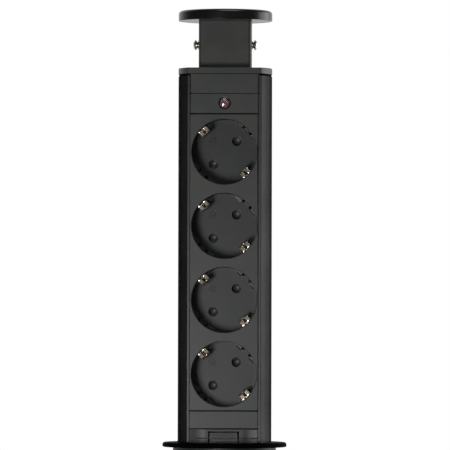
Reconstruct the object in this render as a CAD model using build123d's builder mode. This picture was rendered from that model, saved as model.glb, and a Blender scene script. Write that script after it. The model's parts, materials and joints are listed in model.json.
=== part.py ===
from build123d import *
import os
from math import cos, radians, sin, sqrt

os.makedirs("parts", exist_ok=True)

# Pop up desk socket, raised. Millimetres, +Z up, the front faces -Y.
# The origin is the centre of the flange's underside, on the top of the desk.

# Fits that many pieces share
fit_gap = 0.1        # between two pieces of one body that sit inside one another
slide_gap = 0.4      # between the column and the collar it slides in
stop_gap = 0.3       # left at a stop, and between two bodies that pass
run_gap = 0.06       # radial, for a pin that turns or slides in its own hole
seam = 0.3           # the parting line between two front plates
overrun = 1.0        # how far a cut runs past the face that it opens
edge_break = 0.3     # the small chamfer on moulded and machined edges

# Column: an extruded C section whose open front is closed by plates
front_flat = 16.8    # from the axis to the lips' front face
profile_wall = 1.4
lip_t = 1.4
lip_w = 1.337
slot_margin = 1.0    # from a recess to the lip beside it
ledge_t = 1.2
ledge_set = 0.35     # how far the ledges that back the plates stand back from the lips
boss_hole_r = 1.25
front_boss_r = 2.2
front_boss_set = 1.93   # from the wall's inside to the boss's centre
front_boss_angle = -20.3
back_boss_r = 2.6
back_boss_set = 2.3
back_boss_angle = 35.4

# Heights of the column's front, from the desk
block_top = 10.6
lower_blank_h = 10.3
socket_plate_low = 2.3    # of the socket plate, below the lowest recess
socket_plate_high = 3.1   # of the socket plate, above the highest recess
indicator_h = 11.6
top_blank_h = 11.5
cap_t = 3.4
shadow_step = 1.2    # the cap's foot on the extrusion, seen as a dark line at both sides
shadow_step_in = 0.35   # how far that foot stands back from the cap's edge

# Front plates
plate_recess = 0.3   # how far the plates lie behind the lips
tongue_t = 1.4
groove_gap = 0.1

# Neck and lid
neck_screw_gap = 0.4  # between the neck's flange and the cap's screw heads
neck_d = 16.0
neck_wall = 1.8
neck_corner_r = 2.0
neck_h = 27.4        # between the cap and the lid
neck_flange_side = 4.1
neck_flange_front = 2.5
neck_flange_t = 2.0
post_h = 19.7
lid_t = 6.0
lid_edge_r = 2.0
lid_under_r = 0.5
lid_proud = 3.9      # how far the closed lid stands above the flange, to be gripped

# Collar in the desk
flange_over = 6.05   # how far the flange reaches past the spigot
flange_t = 2.7
flange_edge_r = 0.7
spigot_over = 0.3    # the plain part over the thread, in a desk hole of 60 mm
spigot_len = 9.0
sleeve_wall = 2.0
sleeve_len = 46.0
key_len = 32.0       # of the guide key below the flange's underside
key_rib_w = 6.0
key_rib_h = 9.0
key_rib_low = 24.0
key_rib_set = 0.5    # how far the rib stays inside the thread
gasket_in_gap = 1.5   # from the spigot
gasket_out_gap = 1.35  # from the flange's rim
gasket_t = 0.8

# Clamp below the desk
desk_t = 25.0
washer_t = 1.6
washer_gap = 0.25
washer_w = 7.05
nut_h = 9.0
nut_wall = 6.2
nut_notches = 8
nut_notch_r = 3.2
nut_notch_depth = 2.1

# Sockets: a round recess for a plug with two round pins and side earth
socket_count = 4
socket_gap = 4.9      # between two recesses
socket_turn = 45.0   # the pin line's angle from the horizontal
recess_r = 18.8
recess_depth = 17.5
cup_wall = 0.9
floor_t = 2.2
pin_pitch = 19.0
pin_hole_r = 2.75
pin_r = 2.4
pin_len = 19.0
land_in = 2.7        # how far the flat lands that guide the plug stand in from the wall
land_depth = 9.0     # from the cup's front edge down to the lands
land_slot_w = 7.0    # the slot in the middle of each land
land_slot_in = 0.5   # how far its end stays inside the recess's wall
key_in = 1.6         # how far the key in the slot stands in from the wall
key_w = 4.0
ring_out = 0.16      # how much further out than a pin hole the blind ring lies
ring_out_r = 2.05
ring_in_r = 1.5
ring_depth = 0.5
ring_dot_r = 0.55
ring_dot_depth = 0.9
skirt_wall = 1.2
skirt_len = 3.1      # behind the floor, round the shutter

# Earth clip: one bent strap to each socket
clip_t = 0.7
clip_w = 5.7
clip_arm_out = 0.5   # the arm's middle, outside the recess's wall
clip_tip_in = 3.2    # the contact bow, inside it
clip_lead_in = 0.9   # the top of the bow
clip_end_in = 1.1    # the free end
clip_top_gap = 0.9   # from the cup's front edge to the top of the clip
clip_bow_depth = 6.8
clip_end_depth = 12.0
clip_bend_r = 0.75
pocket_gap = 0.35
pocket_wall = 1.0

# Shutter that closes both pin holes
pivot_r = 1.5
shutter_hub_r = 3.0
shutter_bar_w = 3.6
shutter_t = 1.8
paddle_r = 3.5
paddle_pad_r = 3.2
shutter_travel = 40.0
stop_out = 1.1       # the stop posts, further out than the pin holes
stop_angle = 112.0
stop_post_r = 1.0
shutter_spring_r = 0.9

# Contact carrier behind the cups
carrier_half = 15.4
carrier_wall = 1.6
carrier_front_t = 2.2
carrier_cover_t = 1.5
carrier_divider = 2.0
carrier_in = 2.1      # how far the tray's ends lie inside the end cups
carrier_hole_r = 3.0
ear_out = 2.2         # the ears' holes, outside the tray
ear_r = 2.2
ear_t = 2.0
screw_r = 1.1
screw_head_r = 2.05
screw_head_t = 1.4
driver_slot = 0.6     # width of the slots and crosses in the screw heads
driver_depth = 0.9
leg_half = 13.0
contact_t = 0.7
contact_depth = 9.0
contact_half = 3.8
bar_over = 14.2       # how far the bars run past the top socket's centre
earth_bar_w = 5.0
earth_bar_t = 0.8
earth_arm_w = 4.0
earth_rivet_r = 1.2
earth_tab_at = 11.7   # from the socket's centre, across and up

# Terminal block and inner leads
terminal_half = 13.0
terminal_d = 9.8
terminal_h = 15.0
terminal_way_r = 2.2
terminal_way_depth = 7.0
terminal_screw_r = 2.0
terminal_screw_t = 3.0
lead_r = 1.1
lead_way_r = 1.4
lead_way_depth = 2.5
lead_bend_r = 3.4
lead_rise = 7.0       # from the terminal block to the leads' crossing
lead_drop = 7.8       # from the crossing up to the bars
lead_back = 7.3       # from the cavity's back
bars_under = 2.6      # how far the bars reach below the tray
lamp_lead_r = 0.6
lamp_lead_bend_r = 2.4
lamp_lead_back = 8.3

# Indicator
lens_up = 6.0         # from the foot of the indicator panel
lens_r = 2.8
lens_dome = 0.5
lens_depth = 5.0
bezel_out_r = 3.6
bezel_tube_r = 3.1
bezel_proud = 0.5
lamp_r = 2.1
board_w = 25.0
board_h = 9.0
board_t = 1.2
board_in = 13.5       # behind the plates' face
board_post_x = 9.5
board_post_r = 1.8

# Latch at the foot of the column
button_half = 8.05
button_down = 2.2     # from the top of the latch block
button_h = 10.1
button_gap = 0.35
button_proud = 0.2
nose_proud = 0.8
nose_down = 3.6       # from the top of the button
nose_slope_h = 1.2
button_ear = 1.7
button_ear_t = 1.0
button_travel = 2.0
step_down = 5.2       # from the top of the latch block
step_groove = 0.4
latch_pin_r = 1.5
bridge_in = 7.5       # behind the plates' face
bridge_t = 1.5
bridge_half = 12.4
bridge_over = 1.3     # past the button, up and down
bridge_wall = 1.4
latch_spring_r = 2.6
latch_spring_wire = 0.6

# Foot of the column
foot_over = 1.6       # the rim that stops the column, past the sleeve's bore
foot_t = 2.5
gland_hole_r = 10.1
gland_thread_r = 10.0
gland_flats = 24.0    # across the flats of the gland's hexagons
gland_hex_h = 6.0
gland_stem_r = 9.0
gland_stem_h = 9.0
gland_up = 8.0        # how far the gland's thread stands inside the column
gland_bore_r = 6.6
locknut_h = 4.0
cap_nut_h = 15.0
cap_nut_r = 11.6
cap_nut_gap = 0.5
cap_nut_wall = 2.2
cap_nut_mouth_r = 5.2
seal_in_r = 4.25
seal_len = 10.0

# Countersunk screws in both ends of the extrusion
end_screw_head_r = 2.5
end_screw_r = 1.2
end_screw_len = 9.0
end_screw_head_h = 1.4
neck_base_screw_out = 2.05   # from the neck's side
neck_base_screw_y = 6.0
neck_base_screw_len = 4.6
neck_base_head_r = 1.7
neck_base_head_t = 1.2

# Screws on both sides of the neck, in cup washers
side_head_r = 3.0
side_head_out = 3.6
side_head_rim = 2.1
side_waist = 1.0
side_waist_r = 1.55
side_shank_r = 1.45
side_shank_in = 7.0
cup_washer_r = 2.75
lid_screw_r = 1.4
lid_screw_in = 3.4
lid_screw_head_r = 2.6
lid_screw_head_t = 1.8

# Places worked out from the sizes above
slot_half = recess_r + slot_margin
ledge_half = slot_half + ledge_set
plate_front = -front_flat + plate_recess
floor_front = plate_front + recess_depth
cavity_back = floor_front + pin_len + stop_gap
column_r = max(
    sqrt(front_flat**2 + (slot_half + lip_w) ** 2),
    sqrt(carrier_half**2 + cavity_back**2) + fit_gap + profile_wall,
)
bore_r = column_r + slide_gap
profile_in_r = column_r - profile_wall
lid_r = column_r
boss_places = [
    ((profile_in_r - inset) * cos(radians(turn)) * side, (profile_in_r - inset) * sin(radians(turn)))
    for inset, turn in ((front_boss_set, front_boss_angle), (back_boss_set, back_boss_angle))
    for side in (1, -1)
]
thread_r = bore_r + sleeve_wall
spigot_r = thread_r + spigot_over
flange_r = spigot_r + flange_over
gasket_in_r = spigot_r + gasket_in_gap
gasket_out_r = flange_r - gasket_out_gap
washer_in_r = spigot_r + washer_gap
washer_out_r = washer_in_r + washer_w
nut_out_r = thread_r + nut_wall
foot_r = bore_r + foot_over
lip_back = -front_flat + lip_t
tongue_front = lip_back + groove_gap
tongue_back = tongue_front + tongue_t
ledge_front = tongue_back + groove_gap
plate_half = slot_half - seam
socket_pitch = 2 * recess_r + socket_gap
lower_blank_top = block_top + lower_blank_h
socket_low_z = lower_blank_top + socket_plate_low + recess_r
socket_zs = [socket_low_z + n * socket_pitch for n in reversed(range(socket_count))]
gap_zs = [(high + low) / 2 for high, low in zip(socket_zs, socket_zs[1:])]
sockets_top = socket_zs[0] + recess_r + socket_plate_high
lens_z = sockets_top + lens_up
indicator_top = sockets_top + indicator_h
cap_low = indicator_top + top_blank_h
foot_top = -sleeve_len - stop_gap
foot_low = foot_top - foot_t
profile_top = cap_low - shadow_step
cap_high = cap_low + cap_t
neck_top = cap_high + neck_h
neck_flange_w = 2 * (boss_places[0][0] - end_screw_head_r - neck_screw_gap)
neck_w = neck_flange_w - 2 * neck_flange_side
neck_flange_d = neck_d + 2 * neck_flange_front
neck_base_screw_x = neck_w / 2 + neck_base_screw_out
lid_screw_x = neck_w / 2 - side_shank_in - lid_screw_head_r - 2 * fit_gap
lid_low = neck_top
lid_high = lid_low + lid_t
key_top = flange_t + lid_proud - lid_t
button_top = block_top - button_down
button_low = button_top - button_h
nose_high_z = button_top - nose_down
nose_low_z = nose_high_z - nose_slope_h
nose_front = -front_flat - nose_proud + plate_recess
latch_pin_z = (button_top + button_low) / 2
bridge_y = plate_front + bridge_in
bridge_low = button_low - bridge_over
bridge_high = button_top + bridge_over
step_z = block_top - step_down
lens_shoulder = plate_front - bezel_proud + fit_gap
lens_crown = lens_shoulder - lens_dome
board_y = plate_front + board_in
key_plane = min(nose_front, lens_crown) - stop_gap
neck_screw_z = cap_high + neck_h / 2
post_low = neck_top - post_h
washer_top = -desk_t
nut_top = washer_top - washer_t
cup_front = tongue_back + fit_gap
cup_out_r = recess_r + cup_wall
floor_back = floor_front + floor_t
skirt_back = floor_back + skirt_len
skirt_in_r = cup_out_r - skirt_wall
land_r = recess_r - land_in
land_slot_r = recess_r - land_slot_in
key_in_r = recess_r - key_in
clip_arm_r = recess_r + clip_arm_out
clip_tip_r = recess_r - clip_tip_in
clip_lead_r = recess_r - clip_lead_in
clip_end_r = recess_r - clip_end_in
clip_base_y = floor_back + fit_gap / 2 + clip_t / 2
clip_back = clip_base_y + clip_t / 2
clip_turn = socket_turn + 90.0
pin_out = pin_pitch / 2
pin_across = pin_out * cos(radians(socket_turn))
ring_r = pin_out + ring_out
stop_r = pin_out + stop_out
shutter_front = clip_back + stop_gap
shutter_back = shutter_front + shutter_t
ear_x = carrier_half + ear_out
carrier_front = skirt_back + fit_gap
cavity_front = carrier_front + carrier_front_t
carrier_low = socket_zs[-1] - cup_out_r + carrier_in
carrier_high = socket_zs[0] + cup_out_r - carrier_in
contact_x = pin_across + pin_r + contact_t / 2
bars_low = carrier_low - bars_under
bars_high = socket_zs[0] + bar_over
lead_cross_z = bars_low - lead_drop
terminal_top = lead_cross_z - lead_rise
terminal_low = terminal_top - terminal_h
terminal_y = carrier_front - terminal_d / 2
lead_near_y = terminal_y
lead_far_y = cavity_back - lead_back
lamp_lead_y = cavity_back - lamp_lead_back
earth_bar_y = carrier_front + fit_gap / 2


def facing(y, z=0.0):
    """A plane at depth y that faces the front, with its origin at height z."""
    return Plane(origin=(0, y, z), x_dir=(1, 0, 0), z_dir=(0, -1, 0))


def keep(part, name):
    """Label a finished piece and write it."""
    part.part.label = name
    export_step(part.part, "parts/" + name + ".step")


# Shapes that several pieces take their section from
with BuildSketch() as d_shape:
    Circle(column_r)
    with Locations((0, -front_flat)):
        Rectangle(2 * column_r, column_r, align=(Align.CENTER, Align.MAX), mode=Mode.SUBTRACT)

with BuildSketch() as tongue_shape:
    Circle(profile_in_r - fit_gap)
    with Locations((0, tongue_front)):
        Rectangle(2 * column_r, tongue_t, align=(Align.CENTER, Align.MIN), mode=Mode.INTERSECT)

with BuildSketch() as hollow_shape:
    Circle(profile_in_r)
    with Locations((0, lip_back)):
        Rectangle(2 * column_r, column_r, align=(Align.CENTER, Align.MAX), mode=Mode.SUBTRACT)
    with Locations((ledge_half, ledge_front)):
        Rectangle(column_r, ledge_t, align=(Align.MIN, Align.MIN), mode=Mode.SUBTRACT)
    with Locations((-ledge_half, ledge_front)):
        Rectangle(column_r, ledge_t, align=(Align.MAX, Align.MIN), mode=Mode.SUBTRACT)
    with Locations(*boss_places[:2]):
        Circle(front_boss_r, mode=Mode.SUBTRACT)
    with Locations(*boss_places[2:]):
        Circle(back_boss_r, mode=Mode.SUBTRACT)
    with Locations((0, lip_back)):
        Rectangle(2 * slot_half, lip_t + overrun, align=(Align.CENTER, Align.MAX))
    with Locations(*boss_places):
        Circle(boss_hole_r)


def ring_part(outer, inner, low, high):
    """Add a plain ring between two heights to the open part."""
    with BuildSketch(Plane.XY.offset(low)) as section:
        Circle(outer)
        Circle(inner, mode=Mode.SUBTRACT)
    extrude(section.sketch, amount=high - low)


# Collar: flange, plain spigot and threaded sleeve in one turned piece
with BuildPart() as collar:
    ring_part(flange_r, bore_r, 0, flange_t)
    fillet(collar.edges().filter_by(GeomType.CIRCLE).group_by(Axis.Z)[-1], flange_edge_r)
    ring_part(spigot_r, bore_r, -spigot_len, 0)
    ring_part(thread_r, bore_r, -sleeve_len, -spigot_len)
    with BuildSketch(Plane.XY.offset(-overrun)):
        Circle(gasket_out_r + fit_gap)
        Circle(gasket_in_r - fit_gap, mode=Mode.SUBTRACT)
    extrude(amount=gasket_t + overrun, mode=Mode.SUBTRACT)
    with BuildSketch(Plane.XY.offset(-key_rib_low)):
        with Locations((0, -bore_r + overrun)):
            Rectangle(
                key_rib_w + 2 * fit_gap, spigot_r - bore_r + 2 * overrun,
                align=(Align.CENTER, Align.MAX),
            )
    extrude(amount=key_rib_h, mode=Mode.SUBTRACT)
keep(collar, "collar")

# Guide key: fills the sleeve in front of the column's flat, and the closed lid rests on it
with BuildPart() as guide_key:
    with BuildSketch(Plane.XY.offset(-key_len)):
        Circle(bore_r - fit_gap)
        with Locations((0, key_plane)):
            Rectangle(2 * bore_r, bore_r, align=(Align.CENTER, Align.MAX), mode=Mode.INTERSECT)
    extrude(amount=key_len + key_top)
    with BuildSketch(Plane.XY.offset(-key_rib_low + fit_gap)):
        with Locations((0, -bore_r + overrun)):
            Rectangle(
                key_rib_w, thread_r - key_rib_set - bore_r + overrun,
                align=(Align.CENTER, Align.MAX),
            )
    extrude(amount=key_rib_h - 2 * fit_gap)
    chamfer(guide_key.faces().sort_by(Axis.Z)[-1].edges().sort_by(Axis.Y)[-1], edge_break)
keep(guide_key, "guide_key")

# Foam ring that beds the flange on the desk
with BuildPart() as flange_gasket:
    ring_part(gasket_out_r, gasket_in_r, 0, gasket_t)
keep(flange_gasket, "flange_gasket")

with BuildPart() as clamp_washer:
    ring_part(washer_out_r, washer_in_r, nut_top, washer_top)
keep(clamp_washer, "clamp_washer")

with BuildPart() as clamp_nut:
    ring_part(nut_out_r, thread_r + run_gap, nut_top - nut_h, nut_top)
    with BuildSketch(Plane.XY.offset(nut_top - nut_h - overrun)):
        with PolarLocations(nut_out_r - nut_notch_depth + nut_notch_r, nut_notches):
            Circle(nut_notch_r)
    extrude(amount=nut_h + 2 * overrun, mode=Mode.SUBTRACT)
    chamfer(clamp_nut.faces().sort_by(Axis.Z)[0].edges(), edge_break)
keep(clamp_nut, "clamp_nut")

# Extruded body: lips in front, ledges behind the plates and four screw bosses
with BuildPart() as body_profile:
    with BuildSketch(Plane.XY.offset(foot_top)):
        add(d_shape.sketch)
        add(hollow_shape.sketch, mode=Mode.SUBTRACT)
    extrude(amount=profile_top - foot_top)
keep(body_profile, "body_profile")


def plate_body(low, high):
    """Add a front plate between two heights: its face between the lips, its tongue behind them."""
    with BuildSketch(Plane.XY.offset(low)) as section:
        with Locations((0, plate_front)):
            Rectangle(2 * plate_half, tongue_back - plate_front, align=(Align.CENTER, Align.MIN))
        add(tongue_shape.sketch)
    extrude(section.sketch, amount=high - low)


def break_face(part):
    """Chamfer the top and bottom edges of a plate's face."""
    face = part.faces().filter_by(Plane.XZ).sort_by(Axis.Y)[0]
    chamfer(face.edges().filter_by(Axis.X), edge_break)


with BuildPart() as top_blank:
    plate_body(indicator_top + seam / 2, cap_low)
    break_face(top_blank)
keep(top_blank, "top_blank")

with BuildPart() as indicator_panel:
    plate_body(sockets_top + seam / 2, indicator_top - seam / 2)
    break_face(indicator_panel)
    with BuildSketch(facing(board_y, lens_z)):
        with Locations((board_post_x, 0), (-board_post_x, 0)):
            Circle(board_post_r)
    extrude(amount=board_y - tongue_back)
    with BuildSketch(facing(tongue_back + overrun, lens_z)):
        Circle(bezel_tube_r + fit_gap / 2)
    extrude(amount=tongue_back - plate_front + 2 * overrun, mode=Mode.SUBTRACT)
keep(indicator_panel, "indicator_panel")

with BuildPart() as indicator_bezel:
    with BuildSketch(facing(plate_front, lens_z)):
        Circle(bezel_out_r)
    extrude(amount=bezel_proud)
    chamfer(indicator_bezel.faces().sort_by(Axis.Y)[0].edges(), bezel_proud / 2)
    with BuildSketch(facing(plate_front + lens_depth, lens_z)):
        Circle(bezel_tube_r)
    extrude(amount=lens_depth)
    with BuildSketch(facing(plate_front + lens_depth + overrun, lens_z)):
        Circle(lens_r + fit_gap / 2)
    extrude(amount=lens_depth + bezel_proud + 2 * overrun, mode=Mode.SUBTRACT)
keep(indicator_bezel, "indicator_bezel")

# Lens: a short rod with a domed end, turned about its own axis
with BuildPart() as indicator_lens:
    with BuildSketch(Plane.YZ):
        with BuildLine():
            back = plate_front + lens_depth
            Line((back, lens_z), (lens_crown, lens_z))
            ThreePointArc(
                (lens_crown, lens_z),
                (
                    lens_crown + lens_dome * (1 - cos(radians(45))),
                    lens_z + lens_r * sin(radians(45)),
                ),
                (lens_shoulder, lens_z + lens_r),
            )
            Line((lens_shoulder, lens_z + lens_r), (back, lens_z + lens_r))
            Line((back, lens_z + lens_r), (back, lens_z))
        make_face()
    revolve(axis=Axis((0, 0, lens_z), (0, 1, 0)))
keep(indicator_lens, "indicator_lens")

with BuildPart() as indicator_lamp:
    with BuildSketch(facing(board_y, lens_z)):
        Circle(lamp_r)
    extrude(amount=board_y - (plate_front + lens_depth) - stop_gap)
    fillet(indicator_lamp.faces().sort_by(Axis.Y)[0].edges(), lamp_r / 2)
keep(indicator_lamp, "indicator_lamp")

with BuildPart() as indicator_board:
    with BuildSketch(facing(board_y + board_t, lens_z)):
        Rectangle(board_w, board_h)
    extrude(amount=board_t)
keep(indicator_board, "indicator_board")

# Socket plate: four round openings, and posts behind it for the carrier's screws
ear_places = [(side * ear_x, z) for z in gap_zs for side in (1, -1)]
with BuildPart() as socket_plate:
    plate_body(lower_blank_top + seam / 2, sockets_top - seam / 2)
    break_face(socket_plate)
    with BuildSketch(facing(tongue_back + overrun)):
        with Locations(*[(0, z) for z in socket_zs]):
            Circle(recess_r)
    extrude(amount=tongue_back - plate_front + 2 * overrun, mode=Mode.SUBTRACT)
    rims = socket_plate.edges().filter_by(GeomType.CIRCLE).group_by(Axis.Y)[0]
    chamfer(rims, edge_break)
    with BuildSketch(facing(carrier_front)):
        with Locations(*ear_places):
            Circle(ear_r)
    extrude(amount=carrier_front - tongue_back)
    with BuildSketch(facing(carrier_front + overrun)):
        with Locations(*ear_places):
            Circle(screw_r)
    extrude(amount=end_screw_len + overrun, mode=Mode.SUBTRACT)
keep(socket_plate, "socket_plate")

with BuildPart() as lower_blank:
    plate_body(block_top + seam / 2, lower_blank_top - seam / 2)
    break_face(lower_blank)
keep(lower_blank, "lower_blank")

pocket_in_r = clip_arm_r + clip_t / 2 + pocket_gap
pocket_half = clip_w / 2 + pocket_gap


def make_insert(z):
    """A socket's cup: recess, slotted lands with keys, pin holes, clip pockets, shutter pivot."""
    with BuildPart() as insert:
        with BuildSketch(facing(skirt_back, z)):
            Circle(cup_out_r)
            with PolarLocations(pocket_in_r + pocket_wall, 2, start_angle=clip_turn):
                Rectangle(
                    pocket_in_r, 2 * (pocket_half + pocket_wall), align=(Align.MAX, Align.CENTER)
                )
        extrude(amount=skirt_back - cup_front)
        with BuildSketch(facing(floor_front, z)):
            Circle(recess_r)
            with PolarLocations(land_r, 2, start_angle=socket_turn):
                Rectangle(recess_r, 2 * recess_r, align=(Align.MIN, Align.CENTER), mode=Mode.SUBTRACT)
            with PolarLocations(land_slot_r, 2, start_angle=socket_turn):
                Rectangle(
                    land_slot_r - land_r + overrun, land_slot_w, align=(Align.MAX, Align.CENTER)
                )
            with PolarLocations(key_in_r, 2, start_angle=socket_turn):
                Rectangle(recess_r, key_w, align=(Align.MIN, Align.CENTER), mode=Mode.SUBTRACT)
        extrude(amount=floor_front - cup_front + overrun, mode=Mode.SUBTRACT)
        with BuildSketch(facing(cup_front + land_depth, z)):
            Circle(recess_r)
        extrude(amount=land_depth + overrun, mode=Mode.SUBTRACT)
        with BuildSketch(facing(skirt_back + overrun, z)):
            Circle(skirt_in_r)
        extrude(amount=skirt_len + overrun, mode=Mode.SUBTRACT)
        with BuildSketch(facing(clip_back + fit_gap, z)):
            with PolarLocations(pocket_in_r, 2, start_angle=clip_turn):
                Rectangle(
                    pocket_in_r - clip_end_r + clip_t, 2 * pocket_half,
                    align=(Align.MAX, Align.CENTER),
                )
        extrude(amount=clip_back + fit_gap - cup_front + overrun, mode=Mode.SUBTRACT)
        with BuildSketch(facing(floor_back + overrun, z)):
            with PolarLocations(pin_out, 2, start_angle=socket_turn):
                Circle(pin_hole_r)
        extrude(amount=floor_t + 2 * overrun, mode=Mode.SUBTRACT)
        with BuildSketch(facing(floor_front + ring_depth, z)):
            with PolarLocations(ring_r, 1, start_angle=clip_turn):
                Circle(ring_out_r)
                Circle(ring_in_r, mode=Mode.SUBTRACT)
        extrude(amount=ring_depth + overrun, mode=Mode.SUBTRACT)
        with BuildSketch(facing(floor_front + ring_dot_depth, z)):
            with PolarLocations(ring_r, 1, start_angle=clip_turn):
                Circle(ring_dot_r)
        extrude(amount=ring_dot_depth + overrun, mode=Mode.SUBTRACT)
        with BuildSketch(facing(skirt_back - fit_gap, z)):
            Circle(pivot_r)
            with PolarLocations(stop_r, 2, start_angle=stop_angle):
                Circle(stop_post_r)
        extrude(amount=skirt_back - fit_gap - floor_back)
    return insert


def make_clip(z):
    """A socket's earth clip: a strap behind the floor with an arm and a hairpin end at both sides."""
    c = cos(radians(clip_turn))
    s = sin(radians(clip_turn))
    across = Plane(origin=(0, 0, z), x_dir=(c, 0, s), z_dir=(-s, 0, c))
    top = cup_front + clip_top_gap + clip_t / 2
    half_run = [
        (clip_end_r, cup_front + clip_end_depth),
        (clip_tip_r, cup_front + clip_bow_depth),
        (clip_lead_r, top),
        (clip_arm_r, top),
        (clip_arm_r, clip_base_y),
    ]
    run = half_run + [(-r, y) for r, y in reversed(half_run)]
    with BuildPart() as clip:
        with BuildLine(across) as route:
            FilletPolyline(*run, radius=clip_bend_r)
        start = route.line
        with BuildSketch(Plane(origin=start @ 0, x_dir=across.z_dir, z_dir=start % 0)):
            Rectangle(clip_w, clip_t)
        sweep(path=start)
        with BuildSketch(facing(clip_back + overrun, z)):
            Circle(pivot_r + stop_gap)
        extrude(amount=clip_t + 2 * overrun, mode=Mode.SUBTRACT)
    return clip


def make_shutter(z):
    """A socket's shutter: a bar on the pivot with a paddle behind each pin hole."""
    with BuildPart() as shutter:
        with BuildSketch(facing(shutter_back, z)):
            Circle(shutter_hub_r)
            with PolarLocations(0, 1, start_angle=socket_turn):
                Rectangle(pin_pitch, shutter_bar_w)
            with PolarLocations(pin_out, 2, start_angle=socket_turn):
                Circle(paddle_r)
        extrude(amount=shutter_t)
        with BuildSketch(facing(shutter_front, z)):
            with PolarLocations(pin_out, 2, start_angle=socket_turn):
                Circle(paddle_pad_r)
        extrude(amount=shutter_front - floor_back - stop_gap)
        with BuildSketch(facing(shutter_back + overrun, z)):
            Circle(pivot_r + run_gap)
        extrude(amount=shutter_t + 2 * overrun, mode=Mode.SUBTRACT)
    return shutter


def make_shutter_spring(z):
    """A socket's shutter spring, between a paddle and the stop post."""
    paddle = Vector(pin_out * cos(radians(socket_turn)), 0, pin_out * sin(radians(socket_turn)))
    post = Vector(stop_r * cos(radians(stop_angle)), 0, stop_r * sin(radians(stop_angle)))
    along = (post - paddle).normalized()
    length = (post - paddle).length - paddle_r - stop_post_r - 2 * fit_gap
    start = paddle + along * (paddle_r + fit_gap)
    middle = (shutter_front + shutter_back) / 2
    with BuildPart() as spring:
        with BuildSketch(Plane(origin=start + Vector(0, middle, z), z_dir=along)):
            Circle(shutter_spring_r)
            Circle(shutter_spring_r / 2, mode=Mode.SUBTRACT)
        extrude(amount=length)
    return spring


for n, z in enumerate(socket_zs, start=1):
    keep(make_insert(z), f"socket_insert_{n}")
    keep(make_clip(z), f"earth_clip_{n}")
    keep(make_shutter(z), f"shutter_{n}")
    keep(make_shutter_spring(z), f"shutter_spring_{n}")

# Contact carrier: a tray behind the cups, open at the back, with a leg for the terminal block
live_places = [(pin_across, z + pin_across) for z in socket_zs]
neutral_places = [(-pin_across, z - pin_across) for z in socket_zs]
with BuildPart() as contact_carrier:
    with BuildSketch(Plane.XY.offset(carrier_low)):
        with Locations((0, carrier_front)):
            Rectangle(2 * carrier_half, cavity_back - carrier_front, align=(Align.CENTER, Align.MIN))
        with Locations((0, cavity_front)):
            Rectangle(
                2 * (carrier_half - carrier_wall), cavity_back, align=(Align.CENTER, Align.MIN),
                mode=Mode.SUBTRACT,
            )
            Rectangle(carrier_divider, cavity_back - cavity_front, align=(Align.CENTER, Align.MIN))
    extrude(amount=carrier_high - carrier_low)
    with BuildSketch(facing(carrier_front + ear_t)):
        with Locations(*ear_places):
            Circle(ear_r)
        with Locations(*[(0, z) for z in gap_zs]):
            Rectangle(2 * ear_x, 2 * ear_r)
        with Locations(*ear_places):
            Circle(screw_r + fit_gap, mode=Mode.SUBTRACT)
    extrude(amount=ear_t)
    with BuildSketch(facing(cavity_front)):
        with Locations((0, terminal_low)):
            Rectangle(2 * leg_half, carrier_low - terminal_low, align=(Align.CENTER, Align.MIN))
    extrude(amount=carrier_front_t)
    with BuildSketch(facing(cavity_front + overrun)):
        with Locations(*live_places, *neutral_places):
            Circle(carrier_hole_r)
        with Locations((contact_x, lead_cross_z), (-contact_x, lead_cross_z)):
            Circle(lead_r + stop_gap)
    extrude(amount=carrier_front_t + 2 * overrun, mode=Mode.SUBTRACT)
    with BuildSketch(facing(earth_bar_y + earth_bar_t + fit_gap)):
        with Locations((0, lead_cross_z - lead_r)):
            Rectangle(
                earth_bar_w + 2 * fit_gap, bars_high - lead_cross_z + lead_r + fit_gap,
                align=(Align.CENTER, Align.MIN),
            )
        with Locations(*[(0, z + earth_tab_at) for z in socket_zs]):
            Rectangle(
                carrier_half + overrun, earth_arm_w + 2 * fit_gap, align=(Align.MAX, Align.CENTER)
            )
    extrude(amount=earth_bar_t + fit_gap + overrun, mode=Mode.SUBTRACT)
keep(contact_carrier, "contact_carrier")

# Cover behind the carrier
with BuildPart() as carrier_cover:
    with BuildSketch(Plane.XY.offset(carrier_low)):
        with Locations((0, cavity_back)):
            Rectangle(2 * carrier_half, carrier_cover_t, align=(Align.CENTER, Align.MIN))
        Circle(profile_in_r - stop_gap, mode=Mode.INTERSECT)
    extrude(amount=carrier_high - carrier_low)
keep(carrier_cover, "carrier_cover")

with BuildPart() as carrier_screws:
    with BuildSketch(facing(carrier_front + ear_t)):
        with Locations(*ear_places):
            Circle(screw_r)
    extrude(amount=ear_t + end_screw_len - overrun)
    with BuildSketch(facing(carrier_front + ear_t + screw_head_t)):
        with Locations(*ear_places):
            Circle(screw_head_r)
    extrude(amount=screw_head_t)
keep(carrier_screws, "carrier_screws")


def make_bar(side):
    """A contact bar for one pole: a strip with a second leaf at each pin."""
    leaf_low = -contact_half - contact_t
    with BuildPart() as bar:
        with BuildSketch(facing(cavity_front + fit_gap / 2 + contact_depth)):
            with Locations((side * contact_x, bars_low)):
                Rectangle(contact_t, bars_high - bars_low, align=(Align.CENTER, Align.MIN))
            for z in socket_zs:
                at = z + side * pin_across
                with Locations((side * (pin_across - pin_r - contact_t / 2), at + leaf_low)):
                    Rectangle(
                        contact_t, 2 * contact_half + contact_t, align=(Align.CENTER, Align.MIN)
                    )
                with Locations((side * pin_across, at + leaf_low)):
                    Rectangle(2 * pin_r + 2 * contact_t, contact_t, align=(Align.CENTER, Align.MIN))
        extrude(amount=contact_depth)
    return bar


keep(make_bar(1), "live_bar")
keep(make_bar(-1), "neutral_bar")

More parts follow.
